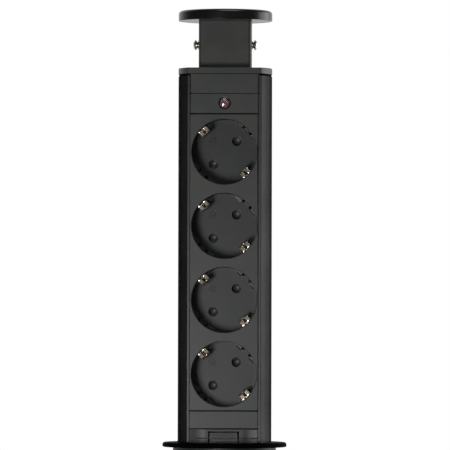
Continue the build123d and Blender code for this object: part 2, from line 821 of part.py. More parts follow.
with BuildPart() as earth_bar:
    with BuildSketch(facing(earth_bar_y + earth_bar_t)):
        with Locations((0, lead_cross_z)):
            Rectangle(earth_bar_w, bars_high - lead_cross_z, align=(Align.CENTER, Align.MIN))
        with Locations(*[(0, z + earth_tab_at) for z in socket_zs]):
            Rectangle(
                earth_tab_at + earth_arm_w / 2, earth_arm_w, align=(Align.MAX, Align.CENTER)
            )
    extrude(amount=earth_bar_t)
    with BuildSketch(facing(earth_bar_y)):
        with Locations(*[(-earth_tab_at, z + earth_tab_at) for z in socket_zs]):
            Circle(earth_rivet_r)
    extrude(amount=earth_bar_y - clip_back)
keep(earth_bar, "earth_bar")

# Terminal block on the carrier's leg
way_places = [(-contact_x, terminal_y), (0, terminal_y), (contact_x, terminal_y)]
with BuildPart() as terminal_block:
    with BuildSketch(facing(carrier_front)):
        with Locations((0, terminal_low)):
            Rectangle(2 * terminal_half, terminal_h, align=(Align.CENTER, Align.MIN))
    extrude(amount=terminal_d)
    chamfer(terminal_block.faces().sort_by(Axis.Y)[0].edges(), edge_break)
    with BuildSketch(Plane.XY.offset(terminal_low - overrun)):
        with Locations(*way_places):
            Circle(terminal_way_r)
    extrude(amount=terminal_way_depth + overrun, mode=Mode.SUBTRACT)
    with BuildSketch(Plane.XY.offset(terminal_top - lead_way_depth)):
        with Locations(*way_places):
            Circle(lead_way_r)
    extrude(amount=lead_way_depth + overrun, mode=Mode.SUBTRACT)
    with BuildSketch(facing(carrier_front - terminal_d + terminal_screw_t)):
        with Locations(*[(x, terminal_low + terminal_way_depth / 2) for x, y in way_places]):
            Circle(terminal_screw_r + fit_gap)
    extrude(amount=terminal_screw_t + overrun, mode=Mode.SUBTRACT)
keep(terminal_block, "terminal_block")

with BuildPart() as terminal_screws:
    with BuildSketch(facing(carrier_front - terminal_d + terminal_screw_t)):
        with Locations(*[(x, terminal_low + terminal_way_depth / 2) for x, y in way_places]):
            Circle(terminal_screw_r)
    extrude(amount=terminal_screw_t - edge_break)
    with BuildSketch(facing(carrier_front - terminal_d + driver_depth)):
        with Locations(*[(x, terminal_low + terminal_way_depth / 2) for x, y in way_places]):
            Rectangle(2 * (terminal_screw_r + fit_gap), driver_slot)
    extrude(amount=driver_depth + overrun, mode=Mode.SUBTRACT)
keep(terminal_screws, "terminal_screws")


def make_lead(x, points, wire_r, bend_r):
    """A lead in an upright plane at one x, through points of depth and height."""
    with BuildPart() as lead:
        with BuildLine() as route:
            FilletPolyline(*[(x, y, z) for y, z in points], radius=bend_r)
        with BuildSketch(Plane(origin=route.line @ 0, z_dir=route.line % 0)):
            Circle(wire_r)
        sweep(path=route.line)
    return lead


lead_start_z = terminal_top - lead_way_depth + fit_gap
pole_run = [
    (lead_near_y, lead_start_z), (lead_near_y, lead_cross_z),
    (lead_far_y, lead_cross_z), (lead_far_y, bars_low),
]
keep(make_lead(contact_x, pole_run, lead_r, lead_bend_r), "live_lead")
keep(make_lead(-contact_x, pole_run, lead_r, lead_bend_r), "neutral_lead")

# The earth lead ends flat against the front of the earth bar
earth_lead_y = earth_bar_y - lead_r
earth_run = [
    (lead_near_y, lead_start_z), (lead_near_y, lead_cross_z - lead_bend_r),
    (earth_lead_y, lead_cross_z), (earth_lead_y, bars_low),
]
keep(make_lead(0, earth_run, lead_r, lead_bend_r), "earth_lead")

lamp_run = [
    (lamp_lead_y, bars_high), (lamp_lead_y, lens_z), (board_y + board_t, lens_z),
]
with BuildPart() as lamp_leads:
    for side in (1, -1):
        with BuildLine() as route:
            FilletPolyline(
                *[(side * contact_x, y, z) for y, z in lamp_run], radius=lamp_lead_bend_r
            )
        with BuildSketch(Plane(origin=route.line @ 0, z_dir=route.line % 0)):
            Circle(lamp_lead_r)
        sweep(path=route.line)
keep(lamp_leads, "lamp_leads")

# Latch block: foot of the front, with the button's window and a bridge for its spring
window_half = button_half + button_gap
with BuildPart() as latch_block:
    plate_body(foot_top, block_top - seam / 2)
    break_face(latch_block)
    with BuildSketch(Plane.XY.offset(bridge_low)):
        with Locations((0, tongue_back)):
            Rectangle(
                2 * bridge_half, bridge_y + bridge_t - tongue_back,
                align=(Align.CENTER, Align.MIN),
            )
            Rectangle(
                2 * (bridge_half - bridge_wall), bridge_y - tongue_back,
                align=(Align.CENTER, Align.MIN), mode=Mode.SUBTRACT,
            )
    extrude(amount=bridge_high - bridge_low)
    with BuildSketch(facing(tongue_back + overrun)):
        with Locations((0, button_low - button_gap)):
            Rectangle(
                2 * window_half, button_top - button_low + 2 * button_gap,
                align=(Align.CENTER, Align.MIN),
            )
    extrude(amount=tongue_back - plate_front + 2 * overrun, mode=Mode.SUBTRACT)
    with BuildSketch(facing(bridge_y + bridge_t + overrun, latch_pin_z)):
        Circle(latch_pin_r + run_gap)
    extrude(amount=bridge_t + 2 * overrun, mode=Mode.SUBTRACT)
    with BuildSketch(facing(plate_front + step_groove)):
        with Locations((0, step_z)):
            Rectangle(2 * (plate_half + overrun), step_groove)
    extrude(amount=step_groove + overrun, mode=Mode.SUBTRACT)
keep(latch_block, "latch_block")

# Latch button: a tab with a sloped nose, ears behind the window and a guide pin
with BuildPart() as latch_button:
    button_front = plate_front - button_proud
    ear_front = tongue_back + fit_gap
    ear_back = ear_front + button_ear_t
    with BuildSketch(Plane.YZ.offset(-button_half)):
        with BuildLine():
            Polyline(
                (ear_back, button_low), (nose_front, button_low), (nose_front, nose_low_z),
                (button_front, nose_high_z), (button_front, button_top), (ear_back, button_top),
                close=True,
            )
        make_face()
    extrude(amount=2 * button_half)
    chamfer(
        latch_button.faces().filter_by(Plane.XZ).sort_by(Axis.Y)[1].edges().filter_by(Axis.Z),
        edge_break,
    )
    with BuildSketch(facing(ear_back, button_low)):
        Rectangle(
            2 * (button_half + button_ear), button_top - button_low, align=(Align.CENTER, Align.MIN)
        )
    extrude(amount=button_ear_t)
    with BuildSketch(facing(bridge_y + bridge_t, latch_pin_z)):
        Circle(latch_pin_r)
    extrude(amount=bridge_y + bridge_t - ear_back)
keep(latch_button, "latch_button")

with BuildPart() as latch_spring:
    with BuildSketch(facing(bridge_y, latch_pin_z)):
        Circle(latch_spring_r)
        Circle(latch_spring_r - latch_spring_wire, mode=Mode.SUBTRACT)
    extrude(amount=bridge_y - ear_back)
keep(latch_spring, "latch_spring")

# Top cap with a window for the neck, a foot on the extrusion and countersunk holes
neck_screw_places = [
    (x, y)
    for x in (neck_base_screw_x, -neck_base_screw_x)
    for y in (neck_base_screw_y, -neck_base_screw_y)
]
with BuildPart() as top_cap:
    with BuildSketch(Plane.XY.offset(cap_low)):
        add(d_shape.sketch)
    extrude(amount=cap_t)
    fillet(top_cap.faces().sort_by(Axis.Z)[-1].edges(), edge_break)
    with BuildSketch(Plane.XY.offset(profile_top)):
        Circle(column_r - shadow_step_in)
        with Locations((0, shadow_step_in - front_flat)):
            Rectangle(2 * column_r, column_r, align=(Align.CENTER, Align.MAX), mode=Mode.SUBTRACT)
        add(hollow_shape.sketch, mode=Mode.SUBTRACT)
    extrude(amount=shadow_step)
    with BuildSketch(Plane.XY.offset(cap_low - overrun)):
        RectangleRounded(neck_w + 2 * fit_gap, neck_d + 2 * fit_gap, neck_corner_r)
    extrude(amount=cap_t + 2 * overrun, mode=Mode.SUBTRACT)
    with Locations(*[(x, y, cap_high) for x, y in boss_places]):
        CounterSinkHole(
            end_screw_r + fit_gap, end_screw_head_r + fit_gap, depth=cap_t + shadow_step + overrun
        )
    with BuildSketch(Plane.XY.offset(cap_low - overrun)):
        with Locations(*neck_screw_places):
            Circle(screw_r)
    extrude(amount=neck_base_screw_len - neck_flange_t + fit_gap + overrun, mode=Mode.SUBTRACT)
keep(top_cap, "top_cap")

# Neck: a square tube trapped under the cap by its flange
with BuildPart() as neck:
    with BuildSketch(Plane.XY.offset(cap_low - neck_flange_t)):
        RectangleRounded(neck_w, neck_d, neck_corner_r)
    extrude(amount=neck_top - cap_low + neck_flange_t)
    with BuildSketch(Plane.XY.offset(cap_low - neck_flange_t)):
        RectangleRounded(neck_flange_w, neck_flange_d, neck_corner_r)
        with Locations(*neck_screw_places):
            Circle(screw_r + fit_gap, mode=Mode.SUBTRACT)
    extrude(amount=neck_flange_t)
    with BuildSketch(Plane.XY.offset(cap_low - neck_flange_t - overrun)):
        Rectangle(neck_w - 2 * neck_wall, neck_d - 2 * neck_wall)
    extrude(amount=neck_top - cap_low + neck_flange_t + 2 * overrun, mode=Mode.SUBTRACT)
    with BuildSketch(Plane.YZ.offset(-neck_w / 2 - overrun)):
        with Locations((0, neck_screw_z)):
            Circle(side_shank_r + fit_gap)
    extrude(amount=neck_w + 2 * overrun, mode=Mode.SUBTRACT)
keep(neck, "neck")

# Post inside the neck that carries the lid
with BuildPart() as lid_post:
    with BuildSketch(Plane.XY.offset(post_low)):
        Rectangle(neck_w - 2 * neck_wall - 2 * fit_gap, neck_d - 2 * neck_wall - 2 * fit_gap)
        with Locations((lid_screw_x, 0), (-lid_screw_x, 0)):
            Circle(lid_screw_r + fit_gap, mode=Mode.SUBTRACT)
    extrude(amount=post_h)
    post_screw_in = side_shank_in - neck_wall + fit_gap
    for side in (1, -1):
        with BuildSketch(Plane.YZ.offset(side * (neck_w / 2 - neck_wall - post_screw_in))):
            with Locations((0, neck_screw_z)):
                Circle(side_shank_r)
        extrude(amount=side * (post_screw_in + overrun), mode=Mode.SUBTRACT)
keep(lid_post, "lid_post")

with BuildPart() as lid:
    with BuildSketch(Plane.XY.offset(lid_low)):
        Circle(lid_r)
    extrude(amount=lid_t)
    fillet(lid.faces().sort_by(Axis.Z)[-1].edges(), lid_edge_r)
    fillet(lid.faces().sort_by(Axis.Z)[0].edges(), lid_under_r)
    with BuildSketch(Plane.XY.offset(lid_low - overrun)):
        with Locations((lid_screw_x, 0), (-lid_screw_x, 0)):
            Circle(lid_screw_r)
    extrude(amount=lid_screw_in + fit_gap + overrun, mode=Mode.SUBTRACT)
keep(lid, "lid")

with BuildPart() as lid_screws:
    with BuildSketch(Plane.XY.offset(post_low)):
        with Locations((lid_screw_x, 0), (-lid_screw_x, 0)):
            Circle(lid_screw_r)
    extrude(amount=post_h + lid_screw_in)
    with BuildSketch(Plane.XY.offset(post_low - lid_screw_head_t)):
        with Locations((lid_screw_x, 0), (-lid_screw_x, 0)):
            Circle(lid_screw_head_r)
    extrude(amount=lid_screw_head_t)
keep(lid_screws, "lid_screws")

# Screws at both sides of the neck: raised countersunk heads that stand out of cup washers
with BuildPart() as neck_screws:
    with BuildSketch(Plane.XZ):
        with BuildLine():
            face_x = neck_w / 2
            Polyline(
                (face_x - side_shank_in, neck_screw_z),
                (face_x - side_shank_in, neck_screw_z + side_shank_r),
                (face_x + side_waist, neck_screw_z + side_shank_r),
                (face_x + side_head_rim, neck_screw_z + side_head_r),
            )
            ThreePointArc(
                (face_x + side_head_rim, neck_screw_z + side_head_r),
                (
                    face_x + side_head_rim + (side_head_out - side_head_rim) * sin(radians(45)),
                    neck_screw_z + side_head_r * cos(radians(45)),
                ),
                (face_x + side_head_out, neck_screw_z),
            )
            Line((face_x + side_head_out, neck_screw_z), (face_x - side_shank_in, neck_screw_z))
        make_face()
    revolve(axis=Axis((0, 0, neck_screw_z), (1, 0, 0)))
    with BuildSketch(Plane.XY.offset(neck_screw_z - side_head_r)):
        with Locations((neck_w / 2 + side_head_out, 0)):
            Rectangle(side_head_out - side_head_rim, driver_slot)
    extrude(amount=2 * side_head_r, mode=Mode.SUBTRACT)
    mirror(about=Plane.YZ)
keep(neck_screws, "neck_screws")

with BuildPart() as neck_cup_washers:
    with BuildSketch(Plane.XZ):
        with BuildLine():
            Polyline(
                (neck_w / 2, neck_screw_z + side_shank_r + fit_gap),
                (neck_w / 2, neck_screw_z + cup_washer_r),
                (neck_w / 2 + side_waist, neck_screw_z + side_waist_r + fit_gap),
                (neck_w / 2 + side_waist, neck_screw_z + side_shank_r + fit_gap),
                close=True,
            )
        make_face()
    revolve(axis=Axis((0, 0, neck_screw_z), (1, 0, 0)))
    mirror(about=Plane.YZ)
keep(neck_cup_washers, "neck_cup_washers")

with BuildPart() as neck_base_screws:
    with BuildSketch(Plane.XY.offset(cap_low - neck_flange_t)):
        with Locations(*neck_screw_places):
            Circle(screw_r)
    extrude(amount=neck_base_screw_len)
    with BuildSketch(Plane.XY.offset(cap_low - neck_flange_t - neck_base_head_t)):
        with Locations(*neck_screw_places):
            Circle(neck_base_head_r)
    extrude(amount=neck_base_head_t)
keep(neck_base_screws, "neck_base_screws")


def end_screws(face_z, way):
    """Countersunk screws in the four bosses, from a face at one end of the extrusion inwards."""
    with BuildPart() as screws:
        for x, y in boss_places:
            with BuildSketch(Plane(origin=(x, y, 0), x_dir=(1, 0, 0), z_dir=(0, -1, 0))):
                with BuildLine():
                    Polyline(
                        (0, face_z),
                        (end_screw_head_r, face_z),
                        (end_screw_r, face_z + way * end_screw_head_h),
                        (end_screw_r, face_z + way * end_screw_len),
                        (0, face_z + way * end_screw_len),
                        close=True,
                    )
                make_face()
            revolve(axis=Axis((x, y, 0), (0, 0, 1)))
            with BuildSketch(Plane.XY.offset(face_z)):
                with Locations((x, y)):
                    Rectangle(2 * end_screw_r, driver_slot)
                    Rectangle(driver_slot, 2 * end_screw_r)
            extrude(amount=way * driver_depth, mode=Mode.SUBTRACT)
    return screws


keep(end_screws(cap_high, -1), "top_cap_screws")

# Foot: closes the extrusion, and its rim stops the column under the sleeve
with BuildPart() as foot:
    with BuildSketch(Plane.XY.offset(foot_low)):
        Circle(foot_r)
        Circle(gland_hole_r, mode=Mode.SUBTRACT)
    extrude(amount=foot_t)
    rims = foot.edges().filter_by(GeomType.CIRCLE).group_by(Axis.Z)[0]
    chamfer(rims.sort_by(SortBy.LENGTH)[-1], edge_break)
    for x, y in boss_places:
        with Locations(Plane(origin=(x, y, foot_low), z_dir=(0, 0, -1))):
            CounterSinkHole(end_screw_r + fit_gap, end_screw_head_r + fit_gap, depth=foot_t + overrun)
keep(foot, "foot")
keep(end_screws(foot_low, 1), "foot_screws")

# Cord gland in the foot: body, locknut, cap nut and rubber seal
gland_hex_low = foot_low - gland_hex_h
stem_low = gland_hex_low - gland_stem_h
with BuildPart() as gland_body:
    with BuildSketch(Plane.XY.offset(foot_low)):
        Circle(gland_thread_r)
    extrude(amount=foot_t + gland_up)
    with BuildSketch(Plane.XY.offset(gland_hex_low)):
        RegularPolygon(gland_flats / 2, 6, major_radius=False)
    extrude(amount=gland_hex_h)
    with BuildSketch(Plane.XY.offset(stem_low)):
        Circle(gland_stem_r)
    extrude(amount=gland_stem_h)
    with BuildSketch(Plane.XY.offset(stem_low - overrun)):
        Circle(gland_bore_r)
    extrude(amount=foot_top + gland_up - stem_low + 2 * overrun, mode=Mode.SUBTRACT)
keep(gland_body, "gland_body")

with BuildPart() as gland_locknut:
    with BuildSketch(Plane.XY.offset(foot_top)):
        RegularPolygon(gland_flats / 2, 6, major_radius=False)
        Circle(gland_thread_r + fit_gap / 2, mode=Mode.SUBTRACT)
    extrude(amount=locknut_h)
keep(gland_locknut, "gland_locknut")

cap_nut_high = gland_hex_low - cap_nut_gap
cap_nut_low = cap_nut_high - cap_nut_h
seal_top = stem_low + seal_len / 2
with BuildPart() as gland_cap_nut:
    with BuildSketch(Plane.XY.offset(cap_nut_low)):
        Circle(cap_nut_r)
    extrude(amount=cap_nut_h)
    fillet(gland_cap_nut.faces().sort_by(Axis.Z)[0].edges(), cap_nut_wall)
    with BuildSketch(Plane.XY.offset(cap_nut_low + cap_nut_wall)):
        Circle(gland_stem_r + fit_gap / 2)
    extrude(amount=cap_nut_h, mode=Mode.SUBTRACT)
    with BuildSketch(Plane.XY.offset(cap_nut_low - overrun)):
        Circle(cap_nut_mouth_r)
    extrude(amount=cap_nut_h, mode=Mode.SUBTRACT)
keep(gland_cap_nut, "gland_cap_nut")

with BuildPart() as gland_seal:
    ring_part(gland_bore_r - fit_gap / 2, seal_in_r, cap_nut_low + cap_nut_wall, seal_top)
keep(gland_seal, "gland_seal")

print("slide travel", round(lid_low - key_top - stop_gap, 3), "sockets at", socket_zs)
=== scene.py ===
# %% [markdown]
# # A pull-up desk socket tower, dressed for a studio picture
# The CAD frame holds every piece of the tower at its real size and place. Here the
# pieces get the edges, threads, coils and finishes that the eye expects, piece by piece.
# We begin by loading that frame, and keep its box. Its box is kept, because nothing made here
# may grow past it.

# %% Load the frame
import json
from math import asin, cos, pi, radians, sin, tan

import bmesh
import bpy
from mathutils import Matrix, Quaternion, Vector


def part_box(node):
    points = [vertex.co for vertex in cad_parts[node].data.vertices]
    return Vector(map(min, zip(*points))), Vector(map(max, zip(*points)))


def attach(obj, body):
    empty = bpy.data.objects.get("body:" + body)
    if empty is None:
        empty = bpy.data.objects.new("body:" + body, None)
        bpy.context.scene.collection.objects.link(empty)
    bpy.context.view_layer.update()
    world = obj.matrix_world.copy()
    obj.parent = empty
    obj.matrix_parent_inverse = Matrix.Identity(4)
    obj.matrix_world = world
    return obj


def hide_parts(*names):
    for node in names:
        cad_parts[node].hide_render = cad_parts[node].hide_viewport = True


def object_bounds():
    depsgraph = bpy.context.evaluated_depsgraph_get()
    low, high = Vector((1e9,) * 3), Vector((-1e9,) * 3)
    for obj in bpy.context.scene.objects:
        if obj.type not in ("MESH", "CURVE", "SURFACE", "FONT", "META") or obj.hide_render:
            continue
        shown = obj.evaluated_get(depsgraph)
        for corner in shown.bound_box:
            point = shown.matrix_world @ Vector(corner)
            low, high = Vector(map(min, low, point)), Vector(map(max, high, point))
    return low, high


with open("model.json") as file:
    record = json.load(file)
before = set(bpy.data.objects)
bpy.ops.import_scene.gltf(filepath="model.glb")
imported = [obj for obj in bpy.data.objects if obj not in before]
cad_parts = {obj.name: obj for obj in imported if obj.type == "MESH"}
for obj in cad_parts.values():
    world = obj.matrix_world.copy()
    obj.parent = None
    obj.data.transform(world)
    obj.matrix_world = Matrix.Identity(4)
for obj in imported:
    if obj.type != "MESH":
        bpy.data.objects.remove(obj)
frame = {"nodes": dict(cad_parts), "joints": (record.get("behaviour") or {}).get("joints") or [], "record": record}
cad_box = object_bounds()
nodes = frame["nodes"]
behaviour = frame["record"]["behaviour"]
mm = 0.001
body_of = {node: body for body, members in behaviour["bodies"].items() for node in members}
slot_of = {piece["node"]: piece["material_slot"] for piece in frame["record"]["subparts"]}
print("nodes", len(nodes), "height", round((cad_box[1].z - cad_box[0].z) / mm, 1), "mm")

# %% [markdown]
# ## The camera
# The photo was taken with a long lens from almost 3 m, a little right of the middle and
# level with the lowest socket but one. Three measures fix such a camera: how large a
# millimetre is on the picture, where the horizon lies, and how far it stands to the side.
# A long lens has no use for shift, so the camera is only pitched up by one degree.

# %% Place the camera
picture_px = 450
sensor_w = 36.0
camera_far = 2813 * mm
camera_sees = 20.0          # metres, well past the floor's end
column_px = 0.5766 * mm     # one pixel at the column's axis
horizon_px = 307.0
camera_high = 80.5 * mm
to_the_right = radians(1.5)
lean = radians(0.15)


def in_scene(name, data):
    """A new object with the given data, linked to the scene."""
    thing = bpy.data.objects.new(name, data)
    bpy.context.scene.collection.objects.link(thing)
    return thing


lens = bpy.data.cameras.new("photo_camera")
lens.sensor_width = sensor_w
lens.lens = sensor_w * camera_far / (column_px * picture_px)
lens.clip_end = camera_sees
camera = in_scene("photo_camera", lens)
camera.location = (camera_far * sin(to_the_right), -camera_far * cos(to_the_right), camera_high)
aim = Vector((0, 0, camera_high + (horizon_px - picture_px / 2) * column_px))
look = (aim - camera.location).to_track_quat("-Z", "Y")
camera.rotation_mode = "QUATERNION"
camera.rotation_quaternion = look @ Quaternion((0, 0, 1), lean)
bpy.context.scene.camera = camera
bpy.context.scene.view_settings.view_transform = "Standard"
print("lens", round(lens.lens, 1), "mm, aimed at", round(aim.z / mm, 1), "mm above the desk")

# %% [markdown]
# ## Wiring shaders
# A material or a world is a small circuit of nodes. Each node and each link could have a
# line of its own. Two helpers say the same in less: what kind of node it is, and which
# value or output goes into each of its inputs.

# %% Wire up shader nodes
def plug(tree, shader, inputs):
    """Give each named input of a shader node a plain value or another node's output."""
    for socket, source in inputs.items():
        if isinstance(source, bpy.types.NodeSocket):
            tree.links.new(source, shader.inputs[socket])
        else:
            shader.inputs[socket].default_value = source


def wired(tree, kind, inputs, **settings):
    """A new shader node with its settings made and its inputs plugged."""
    fresh = tree.nodes.new(kind)
    for setting, value in settings.items():
        setattr(fresh, setting, value)
    plug(tree, fresh, inputs)
    return fresh


# %% [markdown]
# ## A white room
# The photo's background is plain white. It comes from the world, which is white to the
# eye, and white in reflections of what lies behind the object, while it lights the object
# as a dim room does. So black edges turn pale only where they mirror the far side.
# The floor lies far enough down for the column to sink through the desk's hole.

# %% Make the world and the floor
white = (1, 1, 1, 1)
room_light = 0.28
front_of_room = 0.06
room_turns_white = (0.1, 0.9)       # from dim to white, as a share of the way back
floor_turns_white = (-0.2, 1.5)     # the same on the floor, in metres
floor_paint = (0.85, 0.85, 0.85, 1)
floor_shade = 0.16                  # how much of the floor's own shading the eye gets
floor_drop = 3 * mm
floor_half = 9.0


def seen_directly(tree):
    """A socket that is 1 for the eye, for reflections and through glass, and 0 for light."""
    path = wired(tree, "ShaderNodeLightPath", {})
    total = path.outputs["Is Camera Ray"]
    for ray in ("Is Glossy Ray", "Is Transmission Ray"):
        total = wired(tree, "ShaderNodeMath", {0: total, 1: path.outputs[ray]},
                      operation="ADD", use_clamp=True).outputs[0]
    return total


def white_to_the_eye(tree, place, turns_white):
    """A strength of 1 to the eye. Reflections find 1 behind the object and little in front."""
    split = wired(tree, "ShaderNodeSeparateXYZ", {0: place})
    depth = wired(tree, "ShaderNodeMapRange", {
        "Value": split.outputs["Y"], "From Min": turns_white[0], "From Max": turns_white[1],
        "To Min": front_of_room, "To Max": 1.0}, interpolation_type="SMOOTHSTEP")
    path = wired(tree, "ShaderNodeLightPath", {})
    eye = wired(tree, "ShaderNodeMath", {0: path.outputs["Is Camera Ray"], 1: depth.outputs[0]},
                operation="MAXIMUM")
    return eye.outputs[0]


def mixed(tree, share, first, second):
    """The first of two shaders where the share is 0, and the second where it is 1."""
    return wired(tree, "ShaderNodeMixShader", {"Fac": share, 1: first, 2: second}).outputs[0]


def white_room():
    """A world that is white behind the object and dim in front of it."""
    world = bpy.data.worlds.new("white_room")
    world.use_nodes = True
    tree = world.node_tree
    tree.nodes.clear()
    way = wired(tree, "ShaderNodeTexCoord", {}).outputs["Generated"]
    strength = white_to_the_eye(tree, way, room_turns_white)
    bright = wired(tree, "ShaderNodeBackground", {"Color": white, "Strength": strength})
    dim = wired(tree, "ShaderNodeBackground", {"Color": white, "Strength": room_light})
    both = mixed(tree, seen_directly(tree), dim.outputs[0], bright.outputs[0])
    wired(tree, "ShaderNodeOutputWorld", {"Surface": both})
    return world


def white_floor():
    """A floor that is white to the eye but still takes a little of the shadow."""
    material = bpy.data.materials.new("white_floor")
    material.use_nodes = True
    tree = material.node_tree
    tree.nodes.clear()
    spot = wired(tree, "ShaderNodeTexCoord", {}).outputs["Object"]
    strength = white_to_the_eye(tree, spot, floor_turns_white)
    paint = wired(tree, "ShaderNodeBsdfDiffuse", {"Color": floor_paint}).outputs[0]
    glow = wired(tree, "ShaderNodeEmission", {"Strength": strength}).outputs[0]
    seen = mixed(tree, 1.0 - floor_shade, paint, glow)
    both = mixed(tree, seen_directly(tree), paint, seen)
    wired(tree, "ShaderNodeOutputMaterial", {"Surface": both})
    return material


bpy.context.scene.world = white_room()
slide = next(joint for joint in frame["joints"] if joint["child"] == "column")
floor_z = cad_box[0].z + slide["range_m"][0] - floor_drop
sheet = bpy.data.meshes.new("floor")
corners = [(-1, -1), (1, -1), (1, 1), (-1, 1)]
sheet.from_pydata([(x * floor_half, y * floor_half, floor_z) for x, y in corners], [], [(0, 1, 2, 3)])
floor = in_scene("floor", sheet)
floor.data.materials.append(white_floor())
print("floor at", round(floor_z / mm), "mm")

# %% [markdown]
# ## Soft boxes
# The recesses are dark on their left and the faces that lean to the lower left shine, so
# the main light is a small box low at the front left. The right wall of the column glows
# and falls off to its edge, which is what a large strip at the side does. A weak box
# lights the edges on the left, and one above draws the lid's rim. Each is an area lamp
# turned to the middle of the column. Its power follows its distance, so it moves freely.

# %% Hang the soft boxes
column_middle = Vector((0, 0, 110 * mm))


def soft_box(name, azimuth, elevation, distance, size, strength):
    """An area lamp round the column. Azimuth 0 is in front, and a positive one is to the right."""
    lamp = bpy.data.lights.new(name, "AREA")
    lamp.shape = "RECTANGLE"
    lamp.size, lamp.size_y = size
    lamp.energy = strength * distance**2
    box = in_scene(name, lamp)
    a, e = radians(azimuth), radians(elevation)
    away = Vector((sin(a) * cos(e), -cos(a) * cos(e), sin(e)))
    box.location = column_middle + away * distance
    box.rotation_euler = away.to_track_quat("Z", "Y").to_euler()


soft_box("front_box", -15, -11, 0.85, (0.19, 0.19), 4.4)
soft_box("left_fill", -58, -25, 1.2, (0.3, 0.3), 1.4)
soft_box("right_strip", 112, 0, 1.1, (0.8, 1.0), 6.0)
soft_box("top_box", 15, 62, 1.3, (0.8, 0.8), 4.3)

# %% [markdown]
# ## Finishes
# Almost everything here is black, and what tells one black from another is how light
# glides over it: moulded plastic has a fine spark-eroded grain, the extrusion has drawing
# lines along its length, and enamel is smooth. One recipe serves them all: a blotch a few
# millimetres wide that shifts the colour a little, and a fine grain that stirs the
# roughness and raises a bump. Each finish then sets its own sizes.

# %% The recipe for a surface
noise_low, noise_high = 0.3, 0.7    # nearly all of a noise lies between these
blotch_detail, grain_detail = 2.0, 4.0
bump_strength = 0.6


def noise(tree, place, size, detail, stretch=(1, 1, 1)):
    """A noise whose grains are about the given size, longer where stretch is over 1."""
    fit = wired(tree, "ShaderNodeMapping", {
        "Vector": place, "Scale": [1 / (size * s) for s in stretch]})
    grain = wired(tree, "ShaderNodeTexNoise", {
        "Vector": fit.outputs[0], "Scale": 1.0, "Detail": detail})
    return grain.outputs["Fac"]


def ranged(tree, value, low, high):
    """The noise's middle part spread over a range."""
    spread = wired(tree, "ShaderNodeMapRange", {
        "Value": value, "From Min": noise_low, "From Max": noise_high, "To Min": low,
        "To Max": high})
    return spread.outputs[0]


def surface(name, colour, other, rough, swing, grain, depth, blotch, stretch=(1, 1, 1), **more):
    """A finish: two colours in blotches, and a grain that stirs roughness and height."""
    material = bpy.data.materials.new(name)
    material.use_nodes = True
    material.diffuse_color = (*colour, 1)
    tree = material.node_tree
    place = wired(tree, "ShaderNodeTexCoord", {}).outputs["Object"]
    blotches = ranged(tree, noise(tree, place, blotch, blotch_detail), 0, 1)
    fine = noise(tree, place, grain, grain_detail, stretch)
    mix = wired(tree, "ShaderNodeMix", {
        "Factor": blotches, "A": (*colour, 1), "B": (*other, 1)}, data_type="RGBA")
    bump = wired(tree, "ShaderNodeBump", {
        "Strength": bump_strength, "Distance": depth, "Height": fine})
    more = {key.replace("_", " ").title().replace("Ior", "IOR"): more[key] for key in more}
    plug(tree, tree.nodes["Principled BSDF"], {
        "Base Color": mix.outputs["Result"], "Normal": bump.outputs[0],
        "Roughness": ranged(tree, fine, rough - swing, rough + swing), **more})
    return material


# %% [markdown]
# ### The blacks
# The front plates and cups are moulded plastic, a charcoal that leans to green in places.
# The extrusion is black anodised, with lines drawn along it: it is a metal whose edges
# would flare white, so its edge tint is held down. The lid is satin enamel, which
# shines at its rim, and the neck's powder coat has a coarser grain. The flange is the
# deepest black of all, with hardly any sheen, and the same black is painted shade on the cap's foot.

# %% Mix the blacks
def moulded_charcoal():
    return surface("moulded_charcoal", (0.015, 0.019, 0.018), (0.023, 0.022, 0.020), 0.44, 0.05,
                   0.22 * mm, 0.006 * mm, 16 * mm, specular_ior_level=0.42)


def satin_cup():
    return surface("satin_cup", (0.014, 0.018, 0.017), (0.020, 0.020, 0.018), 0.43, 0.05,
                   0.2 * mm, 0.004 * mm, 12 * mm, specular_ior_level=0.40)


def drawn_anodising():
    return surface("drawn_anodising", (0.044, 0.044, 0.045), (0.052, 0.052, 0.052), 0.42, 0.06,
                   0.16 * mm, 0.004 * mm, 20 * mm, stretch=(1, 1, 260), metallic=1.0,
                   specular_tint=(0.2, 0.2, 0.2, 1))


# The flange's deep black enamel, also used as painted shade on the cap's foot.
def black_enamel_and_painted_shade():
    return surface("black_enamel_and_painted_shade", (0.0008, 0.0008, 0.0009), (0.0014, 0.0014, 0.0014), 0.5, 0.05,
                   0.9 * mm, 0.003 * mm, 20 * mm, specular_ior_level=0.003)


def satin_enamel():
    return surface("satin_enamel", (0.004, 0.004, 0.0042), (0.006, 0.006, 0.006), 0.26, 0.03,
                   0.5 * mm, 0.002 * mm, 20 * mm, specular_ior_level=0.34)


def powder_coat():
    return surface("powder_coat", (0.024, 0.024, 0.0235), (0.035, 0.035, 0.031), 0.46, 0.06,
                   0.3 * mm, 0.010 * mm, 14 * mm, specular_ior_level=0.42)


def black_nylon():
    return surface("black_nylon", (0.010, 0.010, 0.011), (0.015, 0.015, 0.015), 0.5, 0.08,
                   0.25 * mm, 0.012 * mm, 8 * mm, specular_ior_level=0.3)


def gloss_bezel():
    return surface("gloss_bezel", (0.010, 0.010, 0.011), (0.014, 0.013, 0.014), 0.2, 0.03,
                   0.3 * mm, 0.002 * mm, 3 * mm)


def soft_rubber():
    return surface("soft_rubber", (0.016, 0.016, 0.016), (0.024, 0.023, 0.022), 0.7, 0.08,
                   0.15 * mm, 0.01 * mm, 3 * mm, specular_ior_level=0.3)


def closed_foam():
    return surface("closed_foam", (0.022, 0.022, 0.023), (0.034, 0.033, 0.033), 0.85, 0.08,
                   0.35 * mm, 0.08 * mm, 2 * mm, specular_ior_level=0.2)


